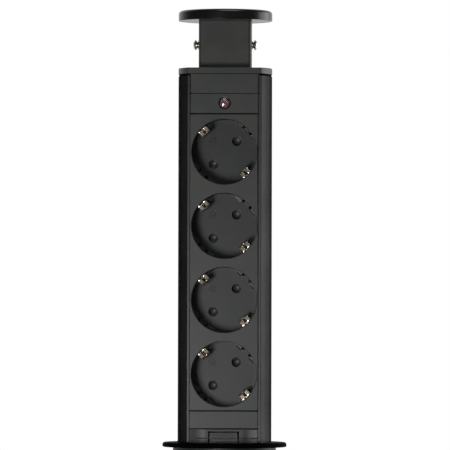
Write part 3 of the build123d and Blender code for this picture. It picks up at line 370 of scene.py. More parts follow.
# %% [markdown]
# ### The metals
# The screws at the neck are bright nickel and the earth clips are bronze with a worn,
# half bright skin, warm in one light and silver in another. A metal's colour sits in its
# reflection, so these are fully metallic and differ in roughness. Zinc plate has a
# spangled bluish blotch, and spring wire keeps its drawing lines.

# %% Mix the metals
def bright_nickel():
    return surface("bright_nickel", (0.80, 0.78, 0.71), (0.66, 0.63, 0.55), 0.2, 0.06,
                   0.25 * mm, 0.004 * mm, 2 * mm, metallic=1.0)


def worn_bronze():
    return surface("worn_bronze", (0.98, 0.96, 0.88), (0.84, 0.70, 0.48), 0.25, 0.08,
                   0.18 * mm, 0.006 * mm, 3 * mm, metallic=1.0)


def rolled_brass():
    return surface("rolled_brass", (0.80, 0.62, 0.30), (0.68, 0.48, 0.22), 0.3, 0.08,
                   0.12 * mm, 0.004 * mm, 6 * mm, stretch=(1, 1, 40), metallic=1.0)


def zinc_plate():
    return surface("zinc_plate", (0.62, 0.64, 0.66), (0.50, 0.52, 0.55), 0.34, 0.1,
                   0.5 * mm, 0.006 * mm, 3 * mm, metallic=1.0)


def spring_wire():
    return surface("spring_wire", (0.50, 0.50, 0.52), (0.38, 0.38, 0.40), 0.3, 0.08,
                   0.08 * mm, 0.003 * mm, 1 * mm, metallic=1.0)


# %% [markdown]
# ### Lamp, board and inner plastics
# The lens is clear red: light passes through it, so it shows a deep red heart with a white
# glint where a facet throws the front box at the eye. Behind it stand a red glow lamp and
# its board. The tray, terminals and leads are inside, but a part on a bench is looked into.

# %% Mix the rest
def clear_red():
    return surface("clear_red", (0.92, 0.56, 0.62), (0.87, 0.46, 0.52), 0.08, 0.03,
                   0.4 * mm, 0.003 * mm, 2 * mm, transmission_weight=0.9, ior=1.6)


def lamp_glass():
    return surface("lamp_glass", (0.46, 0.02, 0.05), (0.30, 0.012, 0.03), 0.08, 0.02,
                   0.5 * mm, 0.002 * mm, 2 * mm, transmission_weight=0.2, ior=1.5)


def laminate():
    return surface("laminate", (0.06, 0.22, 0.09), (0.05, 0.17, 0.07), 0.4, 0.08,
                   0.5 * mm, 0.01 * mm, 3 * mm)


def natural_plastic():
    return surface("natural_plastic", (0.60, 0.57, 0.50), (0.54, 0.51, 0.45), 0.5, 0.06,
                   0.3 * mm, 0.006 * mm, 10 * mm)


def white_plastic():
    return surface("white_plastic", (0.76, 0.76, 0.73), (0.70, 0.70, 0.67), 0.42, 0.05,
                   0.3 * mm, 0.004 * mm, 6 * mm)


def insulation(name, colour, other, blotch):
    return surface(name, colour, other, 0.36, 0.05, 0.4 * mm, 0.006 * mm, blotch)


finish = {
    "black_anodised": drawn_anodising(), "collar_black": black_enamel_and_painted_shade(), "lid_black": satin_enamel(),
    "neck_black": powder_coat(), "front_plastic": moulded_charcoal(), "cup_plastic": satin_cup(),
    "shutter_plastic": satin_cup(), "black_nylon": black_nylon(), "bezel_black": gloss_bezel(),
    "rubber": soft_rubber(), "foam": closed_foam(), "bright_nickel": bright_nickel(),
    "clip_bronze": worn_bronze(), "contact_brass": rolled_brass(), "zinc_steel": zinc_plate(),
    "spring_steel": spring_wire(), "red_lens": clear_red(), "lamp_glass": lamp_glass(),
    "board": laminate(), "carrier_plastic": natural_plastic(), "terminal_plastic": white_plastic(),
    "lead_brown": insulation("brown_lead", (0.16, 0.06, 0.03), (0.13, 0.05, 0.02), 3 * mm),
    "lead_blue": insulation("blue_lead", (0.03, 0.11, 0.42), (0.02, 0.09, 0.36), 3 * mm),
    "lead_green_yellow": insulation("earth_lead", (0.10, 0.34, 0.05), (0.72, 0.62, 0.05), 2.4 * mm),
}
for name, cad in nodes.items():
    cad.data.materials.clear()
    cad.data.materials.append(finish[slot_of[name]])
print("finishes", len(finish), "missing", sorted(set(slot_of.values()) - set(finish)))

# %% [markdown]
# ## Soft edges on machined and moulded pieces
# No real edge is knife sharp, and on black pieces the rounded edges are what the eye sees,
# as thin light lines. Where the CAD shape is right we copy its mesh, weld it, melt its flat
# triangles into whole faces and bevel what is still sharp. The copy then stands for the node.

# %% The tools for soft edges
usual_sharp = 32            # degrees, above which an edge isn't shaded smooth
face_weight = 80            # how strongly a large flat face sets the shading at its edges
weld_gap = 0.004 * mm       # closes the seams of a CAD mesh
join_gap = 0.0005 * mm      # closes the seams of a shape made here
flat_angle = radians(0.3)
round_steps = 2


def shade(piece, sharp=usual_sharp):
    """Smooth shading up to an angle. Large flat faces keep their own direction."""
    piece.data.shade_smooth()
    piece.data.set_sharp_from_angle(angle=radians(sharp))
    even = piece.modifiers.new("even", "WEIGHTED_NORMAL")
    even.keep_sharp = True
    even.weight = face_weight


def mesh_of(shape, name):
    """The mesh of a worked shape, with its faces turned outward. It uses the shape up."""
    bmesh.ops.recalc_face_normals(shape, faces=shape.faces)
    mesh = bpy.data.meshes.new(name)
    shape.to_mesh(mesh)
    shape.free()
    return mesh


def stand_in(shape, name, node, sharp=usual_sharp, joined=False, coat=None):
    """Turn a worked shape into a piece that rides and shows in the node's place."""
    if joined:
        bmesh.ops.remove_doubles(shape, verts=shape.verts, dist=join_gap)
    piece = in_scene(name, mesh_of(shape, name))
    piece.data.materials.append(finish[coat or slot_of[node]])
    shade(piece, sharp)
    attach(piece, body_of[node])
    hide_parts(node)
    return piece


def melt_flats(shape):
    """Make one face of the triangles that lie in one plane."""
    bmesh.ops.dissolve_limit(shape, angle_limit=flat_angle, verts=shape.verts, edges=shape.edges)


def welded(node):
    """The node's own mesh, welded, with its flat parts made whole again."""
    shape = bmesh.new()
    shape.from_mesh(nodes[node].data)
    bmesh.ops.remove_doubles(shape, verts=shape.verts, dist=weld_gap)
    melt_flats(shape)
    return shape


def round_edges(shape, width, hard=24):
    """Bevel the edges where two faces meet at more than the given angle."""
    edges = [e for e in shape.edges if e.is_manifold and e.calc_face_angle(0) > radians(hard)]
    bmesh.ops.bevel(shape, geom=edges, offset=width, segments=round_steps, profile=0.5,
                    affect="EDGES", clamp_overlap=False)


# %% [markdown]
# ### Plain pieces
# These ten keep their CAD shape. Only the width of the rounding differs, from a tenth of a
# millimetre on the lamp's thin board to four tenths on the clamp nut, which hands turn.

# %% Round the edges of the plain pieces
edge_widths = {
    "body_profile": 0.14, "foot": 0.3, "guide_key": 0.25, "neck": 0.12, "clamp_nut": 0.4,
    "gland_locknut": 0.3, "lid_post": 0.3, "terminal_block": 0.3, "indicator_board": 0.1,
    "carrier_cover": 0.2,
}
for node, width in edge_widths.items():
    shape = welded(node)
    round_edges(shape, width * mm)
    piece = stand_in(shape, "soft_" + node, node)
    print(piece.name, "faces", len(piece.data.polygons))

# %% [markdown]
# ### Parting lines
# The plates are pushed into the extrusion one on top of the other, and they don't sit
# evenly: in the photo the line on their right is dark, the one on their left closes
# below the lamp's panel, and the joint under that panel is the widest. So
# each plate's edges are nudged by some tenths of a millimetre before they are rounded, and the
# lap behind each joint is closed, so that no lead shows through. The latch block's two cheeks
# are dished a little for the fingers, which is why light rolls across them in the photo.

# %% Set the plates in their groove
edge_x = 19.5               # mm, as are all numbers down to the end of the table
lap_edge = 0.3              # a plate's lap starts this far from its end
lap_closed = -0.29
behind = -14.0              # the back edge of a plate, which laps over its neighbour's
blank_low, panel_low, sockets_low, lower_low = [
    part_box(node)[0].z / mm for node in ("top_blank", "indicator_panel", "socket_plate", "lower_blank")]
sockets_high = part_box("socket_plate")[1].z / mm
upper_sockets = 180
# each move: the axis, the place on it, the shift, and on which other axis it starts where
plate_moves = {
    "top_blank": [(0, edge_x, -0.35), (2, blank_low, lap_closed, 1, behind), (2, blank_low, -0.14),
                  (2, blank_low + lap_edge, -0.3)],
    "indicator_panel": [(0, edge_x, -0.35), (2, panel_low, -0.54, 1, behind),
                        (2, panel_low + lap_edge, 0.05)],
    "socket_plate": [(0, edge_x, -0.4, 2, upper_sockets), (0, edge_x, -0.05), (0, -edge_x, -0.2),
                     (2, sockets_high, -0.25), (2, sockets_high - lap_edge, -0.25),
                     (2, sockets_low, lap_closed, 1, behind)],
    "lower_blank": [(0, edge_x, -0.05), (0, -edge_x, -0.2), (2, lower_low, lap_closed, 1, behind)],
    "latch_block": [(0, edge_x, -0.05), (0, -edge_x, -0.2), (0, -8.4, -0.5), (0, 8.4, 0.3),
                    (2, 8.75, 0.5), (2, 5.2, -0.1), (1, -16.1, 0.7)],
}
move_reach = 0.02
plate_edge = 0.1 * mm
front_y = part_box("latch_block")[0].y
front_reach = 0.05 * mm     # how near a point must be to count as part of the front
left_cheek, right_cheek = (-19.3 * mm, -8.9 * mm), (8.7 * mm, 19.3 * mm)
left_deep, right_deep, left_lean = 0.33 * mm, 0.32 * mm, 1.4


def nudge(shape, axis, at, by, other=2, above=-1000):
    """Move the points at a place on an axis, all in mm, where another axis is above a limit."""
    for vert in shape.verts:
        if abs(vert.co[axis] / mm - at) < move_reach and vert.co[other] / mm > above:
            vert.co[axis] += by * mm


def slice_through(shape, place, way, **clear):
    """Cut all of a shape along a plane. What lies on either side can be cleared away."""
    bmesh.ops.bisect_plane(shape, geom=shape.verts[:] + shape.edges[:] + shape.faces[:],
                           plane_co=place, plane_no=way, **clear)


def hollow(shape, start, end, front, deep, lean=1, slices=8):
    """Dish a front face between two places on x. With more lean it is deepest nearer the end."""
    for n in range(1, slices):
        slice_through(shape, (start + (end - start) * n / slices, 0, 0), (1, 0, 0))
    for vert in shape.verts:
        share = (vert.co.x - start) / (end - start)
        if 0 < share < 1 and vert.co.y < front + front_reach:
            vert.co.y += deep * 4 * share * (1 - share**lean)


for node, moves in plate_moves.items():
    shape = welded(node)
    for move in moves:
        nudge(shape, *move)
    if node == "latch_block":
        hollow(shape, *left_cheek, front_y, left_deep, left_lean)
        hollow(shape, *right_cheek, front_y, right_deep)
    round_edges(shape, plate_edge)
    piece = stand_in(shape, "set_" + node, node)
    print(piece.name, "faces", len(piece.data.polygons))

# %% [markdown]
# ## Turned pieces
# The lid, the collar, the washers and every screw are turned: an outline swept round an
# axis. We write an outline as pairs of radius and height along the axis. An arc is a short
# run of such pairs, so a rounded rim needs no modifier.

# %% The lathe
def arc(radius, height, size, start, end, steps=6):
    """Points of an arc in an outline, round a centre, from one angle to another in degrees."""
    turns = [radians(start + (end - start) * n / steps) for n in range(steps + 1)]
    return [(radius + size * cos(turn), height + size * sin(turn)) for turn in turns]


def spokes(axis, steps):
    """The direction of an axis, and directions square to it all the way round."""
    along = Vector(axis).normalized()
    side = along.orthogonal().normalized()
    return along, [Quaternion(along, 2 * pi * n / steps) @ side for n in range(steps)]


def skin_over(shape, rings, capped=False):
    """Faces from each ring of points to the next. A ring may be one point, many times over."""
    for low, high in zip(rings, rings[1:]):
        for n in range(len(low)):
            m = (n + 1) % len(low)
            corners = list(dict.fromkeys((low[n], low[m], high[m], high[n])))
            if len(corners) > 2:
                shape.faces.new(corners)
    if capped:
        shape.faces.new(list(reversed(rings[0])))
        shape.faces.new(rings[-1])


def turn(shape, outline, foot=(0, 0, 0), axis=(0, 0, 1), steps=96):
    """Sweep an outline round an axis and add the skin to the shape. A radius of 0 closes it."""
    along, around = spokes(axis, steps)
    rings = []
    for radius, height in outline:
        middle = Vector(foot) + along * height
        if radius == 0:
            rings.append([shape.verts.new(middle)] * steps)
        else:
            rings.append([shape.verts.new(middle + spoke * radius) for spoke in around])
    skin_over(shape, rings)


def closed(outline):
    """The outline of a ring: its last point is its first one again."""
    return outline + outline[:1]


def turned(name, node, outline, foot=(0, 0, 0), axis=(0, 0, 1), steps=96, **looks):
    """A piece that is one outline swept round its axis."""
    shape = bmesh.new()
    turn(shape, outline, foot, axis, steps)
    return stand_in(shape, name, node, joined=True, **looks)


# %% [markdown]
# ### The lid
# Once lowered, the whole tower hides under this lid, so its top is the piece's best face:
# satin enamel, with a generous rounded rim that throws the long highlights of the
# photo. A ring a hair deep near the rim is where the turned disc was faced off.

# %% Turn the lid
low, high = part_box("lid")
lid_r = (high.x - low.x) / 2
rim_r = 2.0 * mm
under_r = 0.25 * mm
crown = 0.12 * mm
facing_gap, facing_deep = 1.2 * mm, 0.05 * mm
facing_r = lid_r - rim_r - facing_gap
face_z = high.z - crown
outline = [(0, low.z)] + arc(lid_r - under_r, low.z + under_r, under_r, -90, 0)
outline += arc(lid_r - rim_r, face_z - rim_r, rim_r, 0, 90, steps=10)
outline += [(facing_r + facing_deep, face_z), (facing_r, face_z - facing_deep)]
outline += [(facing_r - 2 * facing_deep, face_z), (lid_r / 2, high.z - crown / 4), (0, high.z)]
turned("lid_disc", "lid", outline, steps=160, sharp=50)
print("lid", round(2 * lid_r / mm, 2), "mm across,", round((high.z - low.z) / mm, 2), "mm thick")

# %% [markdown]
# ### A thread and a cutter
# A thread is one long helix. We build it as a grid whose radius rises and falls with
# height, and let that wave climb by one pitch per turn. The collar, the gland and every
# screw use it. Windows and notches are cut with a tool shape in an exact boolean, after
# the edges are rounded, because a bevel along a cut folds over itself.

# %% The thread and the cutter
flank_rise, root_flat = 1.6, 0.3


def thread_radius(height, angle, top, bottom, crest, depth, pitch):
    """The radius of a threaded rod at a height and an angle, fading out at both ends."""
    phase = (height / pitch - angle / (2 * pi)) % 1.0
    groove = min(1.0, max(0.0, flank_rise * abs(2 * phase - 1) - root_flat))
    fade = min(1.0, (top - height) / pitch, (height - bottom) / pitch)
    return crest - depth * (1 - groove) * max(0.0, fade)


def threaded(shape, top, bottom, crest, depth, pitch, steps, rows, foot=(0, 0, 0), axis=(0, 0, 1)):
    """Add the open skin of a threaded stretch."""
    along, around = spokes(axis, steps)
    count = max(2, round((top - bottom) / pitch * rows))
    rings = []
    for row in range(count + 1):
        height = bottom + (top - bottom) * row / count
        ring = []
        for n, spoke in enumerate(around):
            radius = thread_radius(height, 2 * pi * n / steps, top, bottom, crest, depth, pitch)
            ring.append(shape.verts.new(Vector(foot) + along * height + spoke * radius))
        rings.append(ring)
    skin_over(shape, rings)


def apply_modifiers(piece):
    """Work a piece's modifiers into its mesh."""
    depsgraph = bpy.context.evaluated_depsgraph_get()
    worked = bpy.data.meshes.new_from_object(piece.evaluated_get(depsgraph))
    piece.modifiers.clear()
    piece.data = worked


def cut(piece, tool):
    """Subtract a tool shape from a piece, and apply the cut to its mesh."""
    piece.modifiers.clear()
    cutter = in_scene("tool", mesh_of(tool, "tool"))
    bool_cut = piece.modifiers.new("cut", "BOOLEAN")
    bool_cut.operation = "DIFFERENCE"
    bool_cut.solver = "EXACT"
    bool_cut.object = cutter
    apply_modifiers(piece)
    bpy.data.objects.remove(cutter)
    shade(piece)


# %% [markdown]
# ### The flange
# The collar's flange lies on the desk, and its sleeve goes through the hole. Only the flange
# is painted deep black, so the two are turned as separate rings. The rim is rounder
# on top than below, and a pocket underneath holds the gasket.

# %% Turn the flange
low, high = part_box("collar")
flange_r = (high.x - low.x) / 2
foot_catch = 1.6 * mm       # the foot is this much larger than the bore: it stops the column
bore_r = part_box("foot")[1].x - foot_catch
spigot_r = 29.7 * mm
edge_r = 1.3 * mm
under_edge_r = 0.8 * mm
gasket_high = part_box("flange_gasket")[1]
pocket_play, pocket_wall = 0.1 * mm, 1.4 * mm
pocket_out = gasket_high.x + pocket_play
pocket_in = spigot_r + pocket_wall
bore_edge = 0.3 * mm
paint_low = -0.2 * mm
collar_steps = 120
outline = [(spigot_r, paint_low), (spigot_r, 0), (pocket_in, 0)]
outline += [(pocket_in, gasket_high.z), (pocket_out, gasket_high.z), (pocket_out, 0)]
outline += arc(flange_r - under_edge_r, under_edge_r, under_edge_r, -90, 0)
outline += arc(flange_r - edge_r, high.z - edge_r, edge_r, 0, 90, steps=8)
outline += [(bore_r + bore_edge, high.z), (bore_r, high.z - bore_edge), (bore_r, paint_low)]
turned("collar_flange", "collar", closed(outline), steps=collar_steps, sharp=34)
print("flange", round(high.z / mm, 2), "mm thick")

# %% [markdown]
# ### The sleeve
# The sleeve is bare nylon, a little paler than the flange. Its thread takes the clamp
# nut, its bore stays plain, and the window for the guide key goes through it at the front.

# %% Turn the sleeve and cut its window
thread_r = 29.4 * mm
thread_pitch = 2.0 * mm
thread_depth = 0.6 * mm
rows_per_turn = 8
spigot_low = -9 * mm
chamfer = 0.5 * mm
window_half = 3.1 * mm
window_deep = 8 * mm
window_low, window_high = -24 * mm, -15 * mm
shape = bmesh.new()
threaded(shape, spigot_low, low.z + chamfer, thread_r, thread_depth, thread_pitch, collar_steps,
         rows_per_turn)
outline = [(thread_r, spigot_low), (spigot_r, spigot_low), (spigot_r, paint_low)]
outline += [(bore_r, paint_low), (bore_r, low.z + chamfer)]
outline += [(bore_r + chamfer, low.z), (thread_r - chamfer, low.z), (thread_r, low.z + chamfer)]
turn(shape, outline, steps=collar_steps)
sleeve = stand_in(shape, "threaded_sleeve", "collar", sharp=34, joined=True, coat="black_nylon")

window = bmesh.new()
bmesh.ops.create_cube(window, size=1.0)
for vert in window.verts:
    vert.co.x *= 2 * window_half
    vert.co.y = -thread_r + vert.co.y * window_deep
    vert.co.z = window_high if vert.co.z > 0 else window_low
cut(sleeve, window)
print("sleeve with its window", len(sleeve.data.polygons), "faces")

# %% [markdown]
# ### Washer, gasket and seal
# Three plain rings: a zinc plated pressing with rolled edges, a strip of closed foam that
# bulges a little where the flange squeezes it, and a rubber seal in the gland.

# %% Turn the rings
def ring(name, node, outer, inner, corner, steps=96):
    """A ring between two radii that fills its node's height, with rounded corners."""
    low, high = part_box(node)
    outline = arc(outer - corner, low.z + corner, corner, -90, 0, steps=4)
    outline += arc(outer - corner, high.z - corner, corner, 0, 90, steps=4)
    outline += arc(inner + corner, high.z - corner, corner, 90, 180, steps=4)
    outline += arc(inner + corner, low.z + corner, corner, 180, 270, steps=4)
    turned(name, node, closed(outline), steps=steps)


washer_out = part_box("clamp_washer")[1].x
seal_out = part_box("gland_seal")[1].x
washer_play, washer_corner = 0.25 * mm, 0.4 * mm
gasket_play, gasket_corner = 1.5 * mm, 0.3 * mm
seal_bore, seal_corner = 4.25 * mm, 0.6 * mm
ring("rolled_washer", "clamp_washer", washer_out, spigot_r + washer_play, washer_corner)
ring("foam_gasket", "flange_gasket", gasket_high.x, spigot_r + gasket_play, gasket_corner)
ring("gland_ring", "gland_seal", seal_out, seal_bore, seal_corner, steps=64)
print("washer", round(2 * washer_out / mm, 1), "mm across")

# %% [markdown]
# ### The gland below the foot
# The cord's gland is moulded nylon. Its cap nut is turned by hand, so it has grip ribs
# round its skirt and a domed mouth. The ribs are a wave on the turned skin: each
# ring's radius follows the angle.

# %% Mould the cap nut
def ribbed(shape, outline, ribs, depth, steps):
    """Turn an outline of radius, height and share of rib, whose radius waves round the axis."""
    rings = []
    for radius, height, share in outline:
        ring = []
        for n in range(steps):
            angle = 2 * pi * n / steps
            wave = 0.5 - 0.5 * cos(ribs * angle)
            reach = radius - depth * share * wave**2
            ring.append(shape.verts.new((reach * cos(angle), reach * sin(angle), height)))
        rings.append(ring)
    skin_over(shape, rings)


low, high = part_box("gland_cap_nut")
nut_r = high.x
nut_ribs, rib_deep = 22, 0.7 * mm
steps_per_rib = 8
mouth_r, mouth_edge = 5.2 * mm, 0.4 * mm
dome_r, dome_wall = 3 * mm, 2.2 * mm
stem_r = 9.05 * mm
nut_edge = 0.3 * mm
ribs_from, ribs_to, ribs_fade = low.z + 4 * mm, high.z - 1.6 * mm, 0.5 * mm
dome_in = low.z + dome_wall
outline = [(mouth_r, dome_in, 0), (mouth_r, low.z + mouth_edge, 0), (mouth_r + mouth_edge, low.z, 0)]
outline += [(r, z, 0) for r, z in arc(nut_r - dome_r, low.z + dome_r, dome_r, -90, 0, steps=8)]
outline += [(nut_r, ribs_from, 1), (nut_r, ribs_to, 1), (nut_r, ribs_to + ribs_fade, 0)]
outline += [(nut_r, high.z - nut_edge, 0), (nut_r - nut_edge, high.z, 0), (stem_r, high.z, 0)]
outline += [(stem_r, dome_in, 0), (mouth_r, dome_in, 0)]
shape = bmesh.new()
ribbed(shape, outline, nut_ribs, rib_deep, nut_ribs * steps_per_rib)
stand_in(shape, "ribbed_cap_nut", "gland_cap_nut", joined=True)
print("cap nut", round(2 * nut_r / mm, 1), "mm across")

# %% [markdown]
# ### The gland's body
# The body has a hexagon for a spanner between two threaded stems, and the hexagon's corners
# are turned off. Each of its rings takes the smaller of a flat side and a turned radius,
# so the curved edge of that chamfer comes by itself.

# %% Mould the gland's body
low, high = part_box("gland_body")
flat_half = high.y
hexagon_r = flat_half / cos(pi / 6)
hex_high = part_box("foot")[0].z
hex_low = hex_high - 6 * mm
corner_cut = 0.9 * mm
cut_low_r, cut_high_r = 12.4 * mm, 13.0 * mm
stem_low_r, stem_high_r = 9.0 * mm, 10.0 * mm
gland_thread = (0.45 * mm, 1.5 * mm)        # its depth and pitch
gland_bore = 6.6 * mm
gland_steps, gland_rows = 72, 6
shape = bmesh.new()
rings = []
for radius, height in ((cut_low_r, hex_low), (hexagon_r, hex_low + corner_cut),
                       (hexagon_r, hex_high - corner_cut / 2), (cut_high_r, hex_high)):
    ring_of_points = []
    for n in range(gland_steps):
        angle = 2 * pi * n / gland_steps
        reach = min(flat_half / cos((angle % (pi / 3)) - pi / 6), radius)
        ring_of_points.append(shape.verts.new((reach * cos(angle), reach * sin(angle), height)))
    rings.append(ring_of_points)
skin_over(shape, rings, capped=True)
threaded(shape, hex_low, low.z, stem_low_r, *gland_thread, gland_steps, gland_rows)
threaded(shape, high.z, hex_high, stem_high_r, *gland_thread, gland_steps, gland_rows)
outline = [(stem_low_r, low.z), (gland_bore, low.z), (gland_bore, high.z), (stem_high_r, high.z)]
turn(shape, outline, steps=gland_steps)
stand_in(shape, "gland_screw_body", "gland_body", joined=True)
print("gland hexagon", round(2 * flat_half / mm, 1), "mm across flats")

# %% [markdown]
# ## Screws
# Every screw has the same three parts: a head, a recess for the driver and a threaded
# shank. The recess is real, a cross that narrows on its way down, because a dark
# cross is what tells the eye that a disc is a screw. Where each screw stands is read from
# the frame: the separate islands of a node's mesh are its screws.

# %% The screw maker
arm_share, inner_share = 0.17, 1.5      # of the cross's size, and of its arm
cross_floor_share = 0.55
screw_pitch = 0.8 * mm
thread_deep_share = 0.18
tip_tall, tip_share = 0.3 * mm, 0.7
head_steps, shank_steps, shank_rows = 40, 20, 6


def islands(node):
    """The boxes of the separate solids in a node, from its own mesh."""
    shape = welded(node)
    left = set(shape.verts)
    boxes = []
    while left:
        reach = [left.pop()]
        group = []
        while reach:
            vert = reach.pop()
            group.append(vert.co.copy())
            for edge in vert.link_edges:
                other = edge.other_vert(vert)
                if other in left:
                    left.discard(other)
                    reach.append(other)
        boxes.append((Vector([min(p[i] for p in group) for i in range(3)]),
                      Vector([max(p[i] for p in group) for i in range(3)])))
    shape.free()
    return sorted(boxes, key=lambda box: tuple(box[0]))


def cross_outline(size):
    """The driver's cross seen from above."""
    arm = size * arm_share
    quarter = [(size, -arm), (size, arm), (arm * inner_share, arm * inner_share)]
    points = []
    for n in range(4):
        c, s = round(cos(n * pi / 2)), round(sin(n * pi / 2))
        points += [(x * c - y * s, x * s + y * c) for x, y in quarter]
    return points


def recessed_face(shape, frame_of, radius, height, size, depth):
    """A screw's top: a disc round a cross whose walls narrow to a smaller floor."""
    rim = [shape.verts.new(frame_of(radius * cos(a), radius * sin(a), height))
           for a in (2 * pi * n / head_steps for n in range(head_steps))]
    mouth = [shape.verts.new(frame_of(x, y, height)) for x, y in cross_outline(size)]
    deep = [shape.verts.new(frame_of(x * cross_floor_share, y * cross_floor_share, height - depth))
            for x, y in cross_outline(size)]
    loops = []
    for loop in (rim, mouth):
        loops += [shape.edges.new((a, b)) for a, b in zip(loop, loop[1:] + loop[:1])]
    bmesh.ops.triangle_fill(shape, edges=loops, use_beauty=True)
    skin_over(shape, [mouth, deep])
    shape.faces.new(deep)


def screw(shape, top, way, head, shank_r, length, size, depth):
    """A screw whose top centre is at a point and whose shank goes the given way.
    The head is an outline of radius and depth below the top, from its top face's rim down."""
    along = -Vector(way).normalized()
    side = along.orthogonal().normalized()
    across = along.cross(side)

    def frame_of(x, y, height):
        return Vector(top) + side * x + across * y + along * height

    crown_r, crown_deep = head[0]
    recessed_face(shape, frame_of, crown_r, -crown_deep, size, depth)
    under_head = -head[-1][1]
    outline = [(r, -deep) for r, deep in head] + [(shank_r, under_head)]
    turn(shape, outline, top, along, head_steps)
    threaded(shape, under_head, -length + tip_tall, shank_r, thread_deep_share * shank_r,
             screw_pitch, shank_steps, shank_rows, top, along)
    tip = [(shank_r, -length + tip_tall), (shank_r * tip_share, -length), (0, -length)]
    turn(shape, tip, top, along, shank_steps)


def flat_head(radius, deep, shank_r):
    """A countersunk head: a flat top with a thin edge and a cone under it."""
    edge = 0.15 * mm
    return [(radius - edge, 0), (radius, edge), (radius, 1.6 * edge), (shank_r, deep)]


def pan_head(radius, tall):
    """A pan head: a flat top that rounds over into its side."""
    bend = 0.45 * tall
    corner = [(radius - bend + bend * sin(a), bend - bend * cos(a))
              for a in (radians(18 * n) for n in range(6))]
    return corner + [(radius, tall)]


# %% [markdown]
# ### Plain screws
# Countersunk screws hold the cap and the foot, and pan heads hold the lid, the neck and the
# contact carrier. They differ only in their sizes, so one table and one loop drive them all.

# %% Drive the end screws, and the ones under the lid and neck
down, up, forward = (0, 0, -1), (0, 0, 1), (0, -1, 0)
end_head = flat_head(2.5 * mm, 1.4 * mm, 1.2 * mm)
lid_head = pan_head(2.6 * mm, 1.8 * mm)
neck_head = pan_head(1.7 * mm, 1.2 * mm)
carrier_head = pan_head(2.05 * mm, 1.4 * mm)
# each set: its piece, the way the shanks go, the head, then in mm the shank's radius
# and the size and depth of the cross
screw_sets = {
    "top_cap_screws": ("cap_screw_set", down, end_head, 1.2, 1.35, 0.9),
    "foot_screws": ("foot_screw_set", up, end_head, 1.2, 1.35, 0.9),
    "lid_screws": ("lid_screw_set", up, lid_head, 1.35, 1.5, 1.0),
    "neck_base_screws": ("neck_base_screw_set", up, neck_head, 1.1, 1.0, 0.6),
    "carrier_screws": ("carrier_screw_set", forward, carrier_head, 1.1, 1.2, 0.8),
}
for node, (name, way, head, shank_r, size, depth) in screw_sets.items():
    shape = bmesh.new()
    axis = [abs(v) for v in way].index(1)
    boxes = islands(node)
    for low, high in boxes:
        top = (low + high) / 2
        top[axis] = low[axis] if way[axis] > 0 else high[axis]
        length = high[axis] - low[axis]
        screw(shape, top, way, head, shank_r * mm, length, size * mm, depth * mm)
    stand_in(shape, name, node, sharp=30, joined=True)
    print(name, len(boxes))

# %% [markdown]
# ### The bright screws at the neck
# These two catch the eye in the photo: raised heads of bright nickel standing out of cup
# washers, so that from the front they look like small spools. The head is domed, with its
# widest ring half way out, and a cone that goes back to a narrow waist.

# %% Turn the neck's screws and washers
low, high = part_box("neck_screws")
cup_low, cup_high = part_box("neck_cup_washers")
head_r = (high.z - low.z) / 2
screw_z = (high.z + low.z) / 2
cup_tall = 1.0 * mm
neck_side = cup_high.x - cup_tall
head_out = high.x - neck_side
head_rim = 2.1 * mm
waist_r = 1.45 * mm
shank_long = 7.0 * mm
rim_band, rim_bevel = 0.25 * mm, 0.15 * mm
cross_r, cross_deep = 1.25 * mm, 0.8 * mm
rim_deep = head_out - head_rim
dome_r = (rim_deep**2 + head_r**2) / (2 * rim_deep)
dome_turn = asin(head_r / dome_r)
crown_turn = 0.5 * dome_turn
dome = [(dome_r * sin(t), dome_r * (1 - cos(t)))
        for t in (crown_turn + (dome_turn - crown_turn) * n / 6 for n in range(7))]
oval_head = dome + [(head_r, rim_deep + rim_band)]
oval_head += [(head_r - rim_bevel, rim_deep + rim_band + rim_bevel), (waist_r, head_out - cup_tall)]
shape = bmesh.new()
for side_way in (1, -1):
    screw(shape, (side_way * high.x, 0, screw_z), (-side_way, 0, 0), oval_head, waist_r,
          head_out + shank_long, cross_r, cross_deep)
stand_in(shape, "neck_screw_pair", "neck_screws", sharp=28, joined=True)

cup_r = (cup_high.z - cup_low.z) / 2
cup_bore = 1.55 * mm
outline = [(cup_bore, 0), (cup_r - 0.1 * mm, 0), (cup_r, 0.12 * mm), (cup_r - 0.2 * mm, 0.45 * mm)]
outline += [(cup_bore + 0.25 * mm, 0.9 * mm), (cup_bore + 0.1 * mm, cup_tall), (cup_bore, cup_tall)]
shape = bmesh.new()
for side_way in (1, -1):
    turn(shape, closed(outline), (side_way * neck_side, 0, screw_z), (side_way, 0, 0), steps=48)
stand_in(shape, "neck_cup_pair", "neck_cup_washers", sharp=40, joined=True)
print("head", round(2 * head_r / mm, 2), "mm across, out", round(head_out / mm, 2), "mm")

# %% [markdown]
# ## Springs
# The CAD keeps each spring as a tube of the coil's outer size. Here it becomes what it is:
# wire wound in a helix, with its end turns closed up. The wire's path is a formula, and a
# small circle is carried along it.

# %% Wind the springs
crawl = 0.12        # the share of a spring's length that is climbed evenly, end turns and all


def wind(name, node, foot, axis, outer, length, wire, turns, steps=20, sides=8):
    """A compression spring: the middle turns climb, and the end turns lie close."""
    along = Vector(axis).normalized()
    side = along.orthogonal().normalized()
    count = round(turns * steps)
    end_turn = 1.0 / turns
    rings = []
    for n in range(count + 1):
        share = n / count
        climb = min(1.0, max(0.0, (share - end_turn) / (1 - 2 * end_turn)))
        lift = wire / 2 + (length - wire) * (crawl * share + (1 - crawl) * climb)
        out = Quaternion(along, 2 * pi * turns * share) @ side
        middle = Vector(foot) + along * lift + out * (outer - wire / 2)
        rings.append([middle + (out * cos(a) + along * sin(a)) * wire / 2
                      for a in (2 * pi * k / sides for k in range(sides))])
    shape = bmesh.new()
    skin_over(shape, [[shape.verts.new(spot) for spot in ring] for ring in rings], capped=True)
    stand_in(shape, name, node, sharp=60)


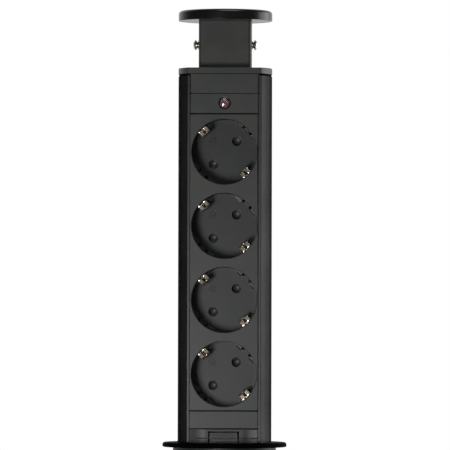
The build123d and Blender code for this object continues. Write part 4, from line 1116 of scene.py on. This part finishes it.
low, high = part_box("latch_spring")
latch_wire, latch_turns = 0.55 * mm, 4.5
wind("wound_latch_spring", "latch_spring", (0, low.y, (low.z + high.z) / 2), (0, 1, 0),
     (high.z - low.z) / 2, high.y - low.y, latch_wire, latch_turns)

socket_count = 4
sockets = range(1, socket_count + 1)
paddle_angle, post_angle = radians(45.0), radians(112.0)
pin_line = Vector((cos(paddle_angle), 0, sin(paddle_angle)))
pin_across = Vector((-sin(paddle_angle), 0, cos(paddle_angle)))
pin_out = 9.5 * mm
post_out = 10.6 * mm
paddle_clear, post_clear = 3.6 * mm, 1.1 * mm
shutter_coil_r, shutter_wire, shutter_turns = 0.9 * mm, 0.22 * mm, 7.5
post = Vector((cos(post_angle), 0, sin(post_angle))) * post_out
paddle = pin_line * pin_out
along = (post - paddle).normalized()
length = (post - paddle).length - paddle_clear - post_clear


def socket_height(n):
    """The height of a socket's middle, which is its earth clip's middle too."""
    low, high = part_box(f"earth_clip_{n}")
    return (low.z + high.z) / 2


for n in sockets:
    low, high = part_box(f"shutter_spring_{n}")
    start = paddle + along * paddle_clear + Vector((0, (low.y + high.y) / 2, socket_height(n)))
    wind(f"wound_shutter_spring_{n}", f"shutter_spring_{n}", start, along, shutter_coil_r, length,
         shutter_wire, shutter_turns, steps=16, sides=6)
print("shutter springs", round(length / mm, 2), "mm long")

# %% [markdown]
# ## Earth clips
# Each recess has a bent strip of bronze that grips the plug's earth contacts. It comes up
# along the wall, folds over at the front and bows inwards, and the bow is split in two
# prongs by a slot. A slot in a bent sheet is easiest when the sheet is a grid laid along its
# bend: the middle column of faces is left out where the slot is, and at the strap's middle
# for the shutter's pivot. The sheet gets its thickness last.

# %% Bend the clips
clip_w = 5.7 * mm
clip_t = 0.7 * mm
clip_bend = 0.9 * mm
clip_edge = 0.12 * mm
clip_turn = radians(135.0)
arm_out, arm_drop = 19.3 * mm, 0.6 * mm     # out from the middle, and back from the crest
crest_out = 18.3 * mm
lead_out, lead_drop = 15.3 * mm, 0.7 * mm
tip_out = 14.5 * mm
end_out = 17.4 * mm
bow_deep, end_deep = 5.6 * mm, 12.0 * mm    # back from the cup's front
slot_w = 1.7 * mm
slot_from, slot_past = 0.75 * mm, 0.5 * mm  # beyond the bow's tip, and behind it
hub_hole = 1.9 * mm
grid_step = 1.2 * mm
cup_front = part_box("socket_insert_1")[0].y


def bent(points, radius, steps=6):
    """A route with each inner corner rounded to the given radius."""
    route = [Vector(points[0])]
    for before, corner, after in zip(points, points[1:], points[2:]):
        before, corner, after = Vector(before), Vector(corner), Vector(after)
        back, on = (before - corner).normalized(), (after - corner).normalized()
        half = back.angle(on) / 2
        reach = min(radius / tan(half), (before - corner).length / 2.1,
                    (after - corner).length / 2.1)
        start, stop = corner + back * reach, corner + on * reach
        for n in range(steps + 1):
            t = n / steps
            route.append(start * (1 - t) ** 2 + corner * 2 * t * (1 - t) + stop * t**2)
    route.append(Vector(points[-1]))
    return route


def thicken(piece, thickness, edge):
    """Give a sheet its thickness about its middle, round its edges and apply both."""
    piece.modifiers.clear()
    wall = piece.modifiers.new("wall", "SOLIDIFY")
    wall.thickness = thickness
    wall.offset = 0
    wall.use_even_offset = True
    soft = piece.modifiers.new("edge", "BEVEL")
    soft.width = edge
    soft.segments = round_steps
    soft.limit_method = "ANGLE"
    soft.angle_limit = radians(50)
    apply_modifiers(piece)
    shade(piece, 40)


def clip_route(low, high):
    """The strap's middle line, from prong to prong behind the floor, in short steps."""
    crest_y = low.y + clip_t / 2
    half = [(end_out, cup_front + end_deep), (tip_out, cup_front + bow_deep),
            (lead_out, crest_y + lead_drop), (crest_out, crest_y), (arm_out, crest_y + arm_drop),
            (arm_out, high.y - clip_t / 2)]
    run = [(x, y, 0) for x, y in half] + [(-x, y, 0) for x, y in reversed(half)]
    route = bent(run, clip_bend)
    dense = [route[0]]
    for here, there in zip(route, route[1:]):
        pieces = max(1, round((there - here).length / grid_step))
        dense += [here.lerp(there, k / pieces) for k in range(1, pieces + 1)]
    return dense


def make_clip(n):
    """The strap of one socket, as a grid of three columns with its slots left out."""
    route = clip_route(*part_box(f"earth_clip_{n}"))
    columns = (-clip_w / 2, -slot_w / 2, slot_w / 2, clip_w / 2)
    shape = bmesh.new()
    rows = []
    out = Vector((cos(clip_turn), 0, sin(clip_turn)))
    across = Vector((-sin(clip_turn), 0, cos(clip_turn)))
    for spot in route:
        middle = out * spot.x + Vector((0, spot.y, socket_height(n)))
        rows.append([shape.verts.new(middle + across * side) for side in columns])
    for k, (here, there) in enumerate(zip(rows, rows[1:])):
        reach = abs((route[k].x + route[k + 1].x) / 2)
        deep = (route[k].y + route[k + 1].y) / 2
        in_bow = reach > tip_out + slot_from and deep < cup_front + bow_deep + slot_past
        for column in range(3):
            if column == 1 and (in_bow or reach < hub_hole):
                continue
            shape.faces.new((here[column], here[column + 1], there[column + 1], there[column]))
    bmesh.ops.delete(shape, geom=[v for v in shape.verts if not v.link_faces], context="VERTS")
    clip = stand_in(shape, f"bent_earth_clip_{n}", f"earth_clip_{n}")
    thicken(clip, clip_t, clip_edge)
    return clip


for n in sockets:
    clip = make_clip(n)
print("clip faces", len(clip.data.polygons), "slot", slot_w / mm, "mm")

# %% [markdown]
# ## Cups
# A cup is one moulding: recess, lands that guide the plug, and a floor with its pin holes.
# Its CAD mesh has nearly all of that. It gets soft edges here, and then the narrow notches
# beside its keys and the slopes at the edge of its lands are cut in.

# %% The cutters for a cup
land_y = cup_front + 9.0 * mm
land_reach = 16.1 * mm
land_edge, land_half = 0.9 * mm, 7.6 * mm
land_fall = 0.17 * mm       # a slope of about ten degrees towards the front lamp
notch_near, notch_far = 17.0 * mm, 18.74 * mm
notch_side, notch_end = 2.0 * mm, 3.5 * mm
notch_above, notch_deep = 0.6 * mm, 9.4 * mm
overrun = 0.1 * mm
cup_edge, cup_hard = 0.06 * mm, 50


def prism(tool, profile, near, far, height):
    """Add a bar along the lands' edge. The profile is in pairs of reach from the middle and y."""
    ends = []
    for side in (near, far):
        ends.append([tool.verts.new(pin_line * reach + pin_across * side + Vector((0, y, height)))
                     for reach, y in profile])
    tool.faces.new(ends[0])
    tool.faces.new(list(reversed(ends[1])))
    skin_over(tool, ends)


def key_notches(height):
    """Four deep notches, one on each side of the two keys that guide the plug."""
    tool = bmesh.new()
    front, back = land_y - notch_above, land_y + notch_deep
    for way in (1, -1):
        near, far = way * notch_near, way * notch_far
        profile = [(near, front), (far, front), (far, back), (near, back)]
        prism(tool, profile, notch_side, notch_end, height)
        prism(tool, profile, -notch_end, -notch_side, height)
    return tool


def land_slopes(height):
    """The shallow slopes at the lands' inner edges."""
    tool = bmesh.new()
    slope = land_fall / land_edge
    deep, shallow = land_y + (land_edge + 2 * overrun) * slope, land_y - overrun * slope
    above = land_y - 5 * overrun
    for way in (1, -1):
        near, far = way * (land_reach - 2 * overrun), way * (land_reach + land_edge + overrun)
        prism(tool, [(near, deep), (far, shallow), (far, above), (near, above)], -land_half,
              land_half, height)
    return tool


def mould_cup(n):
    """A cup with its soft edges, its notches and its slopes."""
    shape = welded(f"socket_insert_{n}")
    round_edges(shape, cup_edge, cup_hard)
    cup = stand_in(shape, f"moulded_cup_{n}", f"socket_insert_{n}")
    cut(cup, key_notches(socket_height(n)))
    cut(cup, land_slopes(socket_height(n)))
    return cup


# %% [markdown]
# ### Shutters
# Behind each hole waits a paddle of the shutter. Its face is dished, so that a pin centres
# itself, and the dish is the pale moon that shows in the upper hole of each socket in
# the photo. Pads and hub are turned, and a flat bar with round ends joins them.

# %% Mould the cups and dish the shutters
pad_r, pad_edge = 3.2 * mm, 0.2 * mm
dish_r, dish_deep, dish_steps = 2.6 * mm, 0.7 * mm, 8
hub_r, hub_bore, hub_edge = 3.0 * mm, 1.56 * mm, 0.3 * mm
bar_thick, bar_w = 1.8 * mm, 3.4 * mm
bar_out, bar_half = 5.2 * mm, 1.3 * mm
bar_sunk = 0.05 * mm        # the bars' faces lie a hair under the hub's
shutter_steps = 40


def dished_pad(shape, centre, front, back):
    """A paddle's pad: a short turned disc whose face has a hollow in it."""
    sphere = (dish_r**2 + dish_deep**2) / (2 * dish_deep)
    widest = asin(dish_r / sphere)
    turns = [widest * k / dish_steps for k in range(dish_steps + 1)]
    outline = [(sphere * sin(t), sphere * (1 - cos(t)) - dish_deep) for t in turns]
    outline += [(pad_r - pad_edge, 0), (pad_r, -pad_edge), (pad_r, front - back), (0, front - back)]
    turn(shape, outline, (centre.x, front, centre.z), (0, -1, 0), shutter_steps)


def round_ended_bar(shape, middle, front, back, steps=12):
    """A flat bar with round ends, between two depths, along the pin line."""
    rim = []
    for side_way in (1, -1):
        for k in range(steps + 1):
            a = -pi / 2 + pi * k / steps
            out = pin_line * (bar_half + cos(a) * bar_w / 2) + pin_across * sin(a) * bar_w / 2
            rim.append(middle + side_way * out)
    ends = [[shape.verts.new(p + Vector((0, y, 0))) for p in rim] for y in (front, back)]
    skin_over(shape, ends, capped=True)


def dish_shutter(n):
    """A shutter: two dished pads and a hub on a flat bar."""
    low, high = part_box(f"shutter_{n}")
    middle = Vector((0, 0, (low.z + high.z) / 2))
    bar_y = high.y - bar_thick
    shape = bmesh.new()
    for side_way in (1, -1):
        dished_pad(shape, middle + pin_line * pin_out * side_way, low.y, high.y)
    hub = [(hub_bore, bar_y), (hub_r - hub_edge, bar_y), (hub_r, bar_y + hub_edge)]
    hub += [(hub_r, high.y), (hub_bore, high.y)]
    turn(shape, closed(hub), middle, (0, 1, 0), shutter_steps)
    for side_way in (1, -1):
        round_ended_bar(shape, middle + pin_line * side_way * bar_out, bar_y + bar_sunk,
                        high.y - bar_sunk)
    stand_in(shape, f"dished_shutter_{n}", f"shutter_{n}", joined=True)


for n in sockets:
    cup = mould_cup(n)
    dish_shutter(n)
print("cup faces", len(cup.data.polygons), "shutter pads", 2 * pad_r / mm, "mm across")

# %% [markdown]
# ## The pilot lamp
# A jewel lens pressed into a round bezel, with a glow lamp behind it. It is turned in eight
# steps only, so it comes out faceted: a small flat table, a low crown and a steep girdle.
# The crown leans just enough for one facet to mirror the front box, as in the photo.

# %% Cut the lens and turn its bezel
forwards = (0, -1, 0)       # heights are measured along it, so a y turns into -y
low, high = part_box("indicator_lens")
lens_z = (low.z + high.z) / 2
lens_r = (high.z - low.z) / 2
lens_front, lens_back = -low.y, -high.y
facets = 8
table_r, crown_r, girdle_r = 0.2 * lens_r, 0.72 * lens_r, 0.96 * lens_r
crown_tilt = radians(9.5)       # the tilt at which a facet throws the front lamp at the eye
girdle_tilt = radians(31.0)     # and the tilt for the lamp above
girdle_step = 0.2 * mm
back_r, hollow_r = 0.8 * lens_r, 0.62 * lens_r
hollow_deep, hollow_tip = 2.0 * mm, 2.4 * mm
crown_z = lens_front - (crown_r - table_r) * tan(crown_tilt)
girdle_z = crown_z - (girdle_r - crown_r) * tan(girdle_tilt)
outline = [(0, lens_front), (table_r, lens_front), (crown_r, crown_z), (girdle_r, girdle_z)]
outline += [(lens_r, girdle_z - girdle_step), (lens_r, lens_back), (back_r, lens_back)]
outline += [(hollow_r, lens_back + hollow_deep), (0, lens_back + hollow_tip)]
shape = bmesh.new()
turn(shape, outline, (0, 0, lens_z), forwards, facets)
bmesh.ops.rotate(shape, verts=shape.verts, cent=(0, 0, lens_z),
                 matrix=Matrix.Rotation(pi / facets, 3, "Y"))
stand_in(shape, "jewel_lens", "indicator_lens", sharp=4, joined=True)

low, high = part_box("indicator_bezel")
bezel_r = (high.z - low.z) / 2
bezel_front, bezel_back = -low.y, -high.y
tube_r = 3.1 * mm
lens_play, lip_w, lip_deep = 0.05 * mm, 0.2 * mm, 0.35 * mm
rim_w, rim_fall, shoulder = 0.3 * mm, 0.2 * mm, 0.5 * mm
lens_bore = lens_r + lens_play
shoulder_z = bezel_front - shoulder
outline = [(lens_bore, bezel_front - lip_deep), (lens_bore + lip_w, bezel_front)]
outline += [(bezel_r - rim_w, bezel_front), (bezel_r, bezel_front - rim_fall)]
outline += [(bezel_r, shoulder_z), (tube_r, shoulder_z), (tube_r, bezel_back), (lens_bore, bezel_back)]
turned("turned_bezel", "indicator_bezel", closed(outline), (0, 0, lens_z), forwards, steps=64)

low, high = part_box("indicator_lamp")
lamp_r = (high.z - low.z) / 2
outline = [(0, -low.y)] + arc(0, -low.y - lamp_r, lamp_r, 80, 0, steps=8)
outline += [(lamp_r, -high.y), (0, -high.y)]
turned("glow_lamp", "indicator_lamp", outline, (0, 0, lens_z), forwards, steps=40, sharp=50)
print("lens", round(2 * lens_r / mm, 2), "mm across at", round(lens_z / mm, 1), "mm up")

# %% [markdown]
# ## The cap
# The cap stands on a foot of its own that is set back a little. The dark line between it and
# the body at both sides is painted shade: that foot is split off here and coated in the
# deepest black, to stand for the shadow in that gap, while the cap keeps its sheen.

# %% Split the cap
def sliced(node, height, keep_top):
    """The part of a node above or below a height, capped where it was cut."""
    shape = welded(node)
    slice_through(shape, (0, 0, height), (0, 0, 1), clear_outer=not keep_top, clear_inner=keep_top)
    rims = [e for e in shape.edges if e.is_boundary]
    bmesh.ops.triangle_fill(shape, edges=rims, use_beauty=True)
    melt_flats(shape)
    return shape


cap_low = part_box("top_blank")[1].z
cap_edge, cap_hard = 0.08 * mm, 50
plate = sliced("top_cap", cap_low, True)
round_edges(plate, cap_edge, cap_hard)
stand_in(plate, "cap_plate", "top_cap")
# The foot's deepest black is painted shade, standing for the shadow in the gap under the cap.
stand_in(sliced("top_cap", cap_low, False), "cap_foot_painted_shade", "top_cap", coat="collar_black")

# %% [markdown]
# ## The latch's tab
# The tab swells a little on its left, which catches the light as in the photo. The
# thumb needs a grip, so four fine ribs are laid across it, each a thin turned bar that is
# half sunk in the face.

# %% Swell and rib the latch's tab
low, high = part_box("latch_button")
tab_half = 8.05 * mm
swell_end, swell = -1.5 * mm, 0.2 * mm
tab_front, tab_edge = -16.7 * mm, 0.16 * mm
rib_count, rib_gap, first_rib = 4, 0.85 * mm, 0.75 * mm
rib_r = 0.16 * mm
rib_start, rib_full = -tab_half + 1.3 * mm, -tab_half + 1.5 * mm
button = welded("latch_button")
hollow(button, -tab_half, swell_end, low.y, -swell)
round_edges(button, tab_edge)
for n in range(rib_count):
    rib_z = high.z - first_rib - n * rib_gap
    outline = [(0, rib_start), (rib_r, rib_full), (rib_r, -rib_full), (0, -rib_start)]
    turn(button, outline, (0, tab_front, rib_z), (1, 0, 0), steps=12)
stand_in(button, "ribbed_latch_tab", "latch_button")
print("tab ribs", rib_count, "every", rib_gap / mm, "mm")
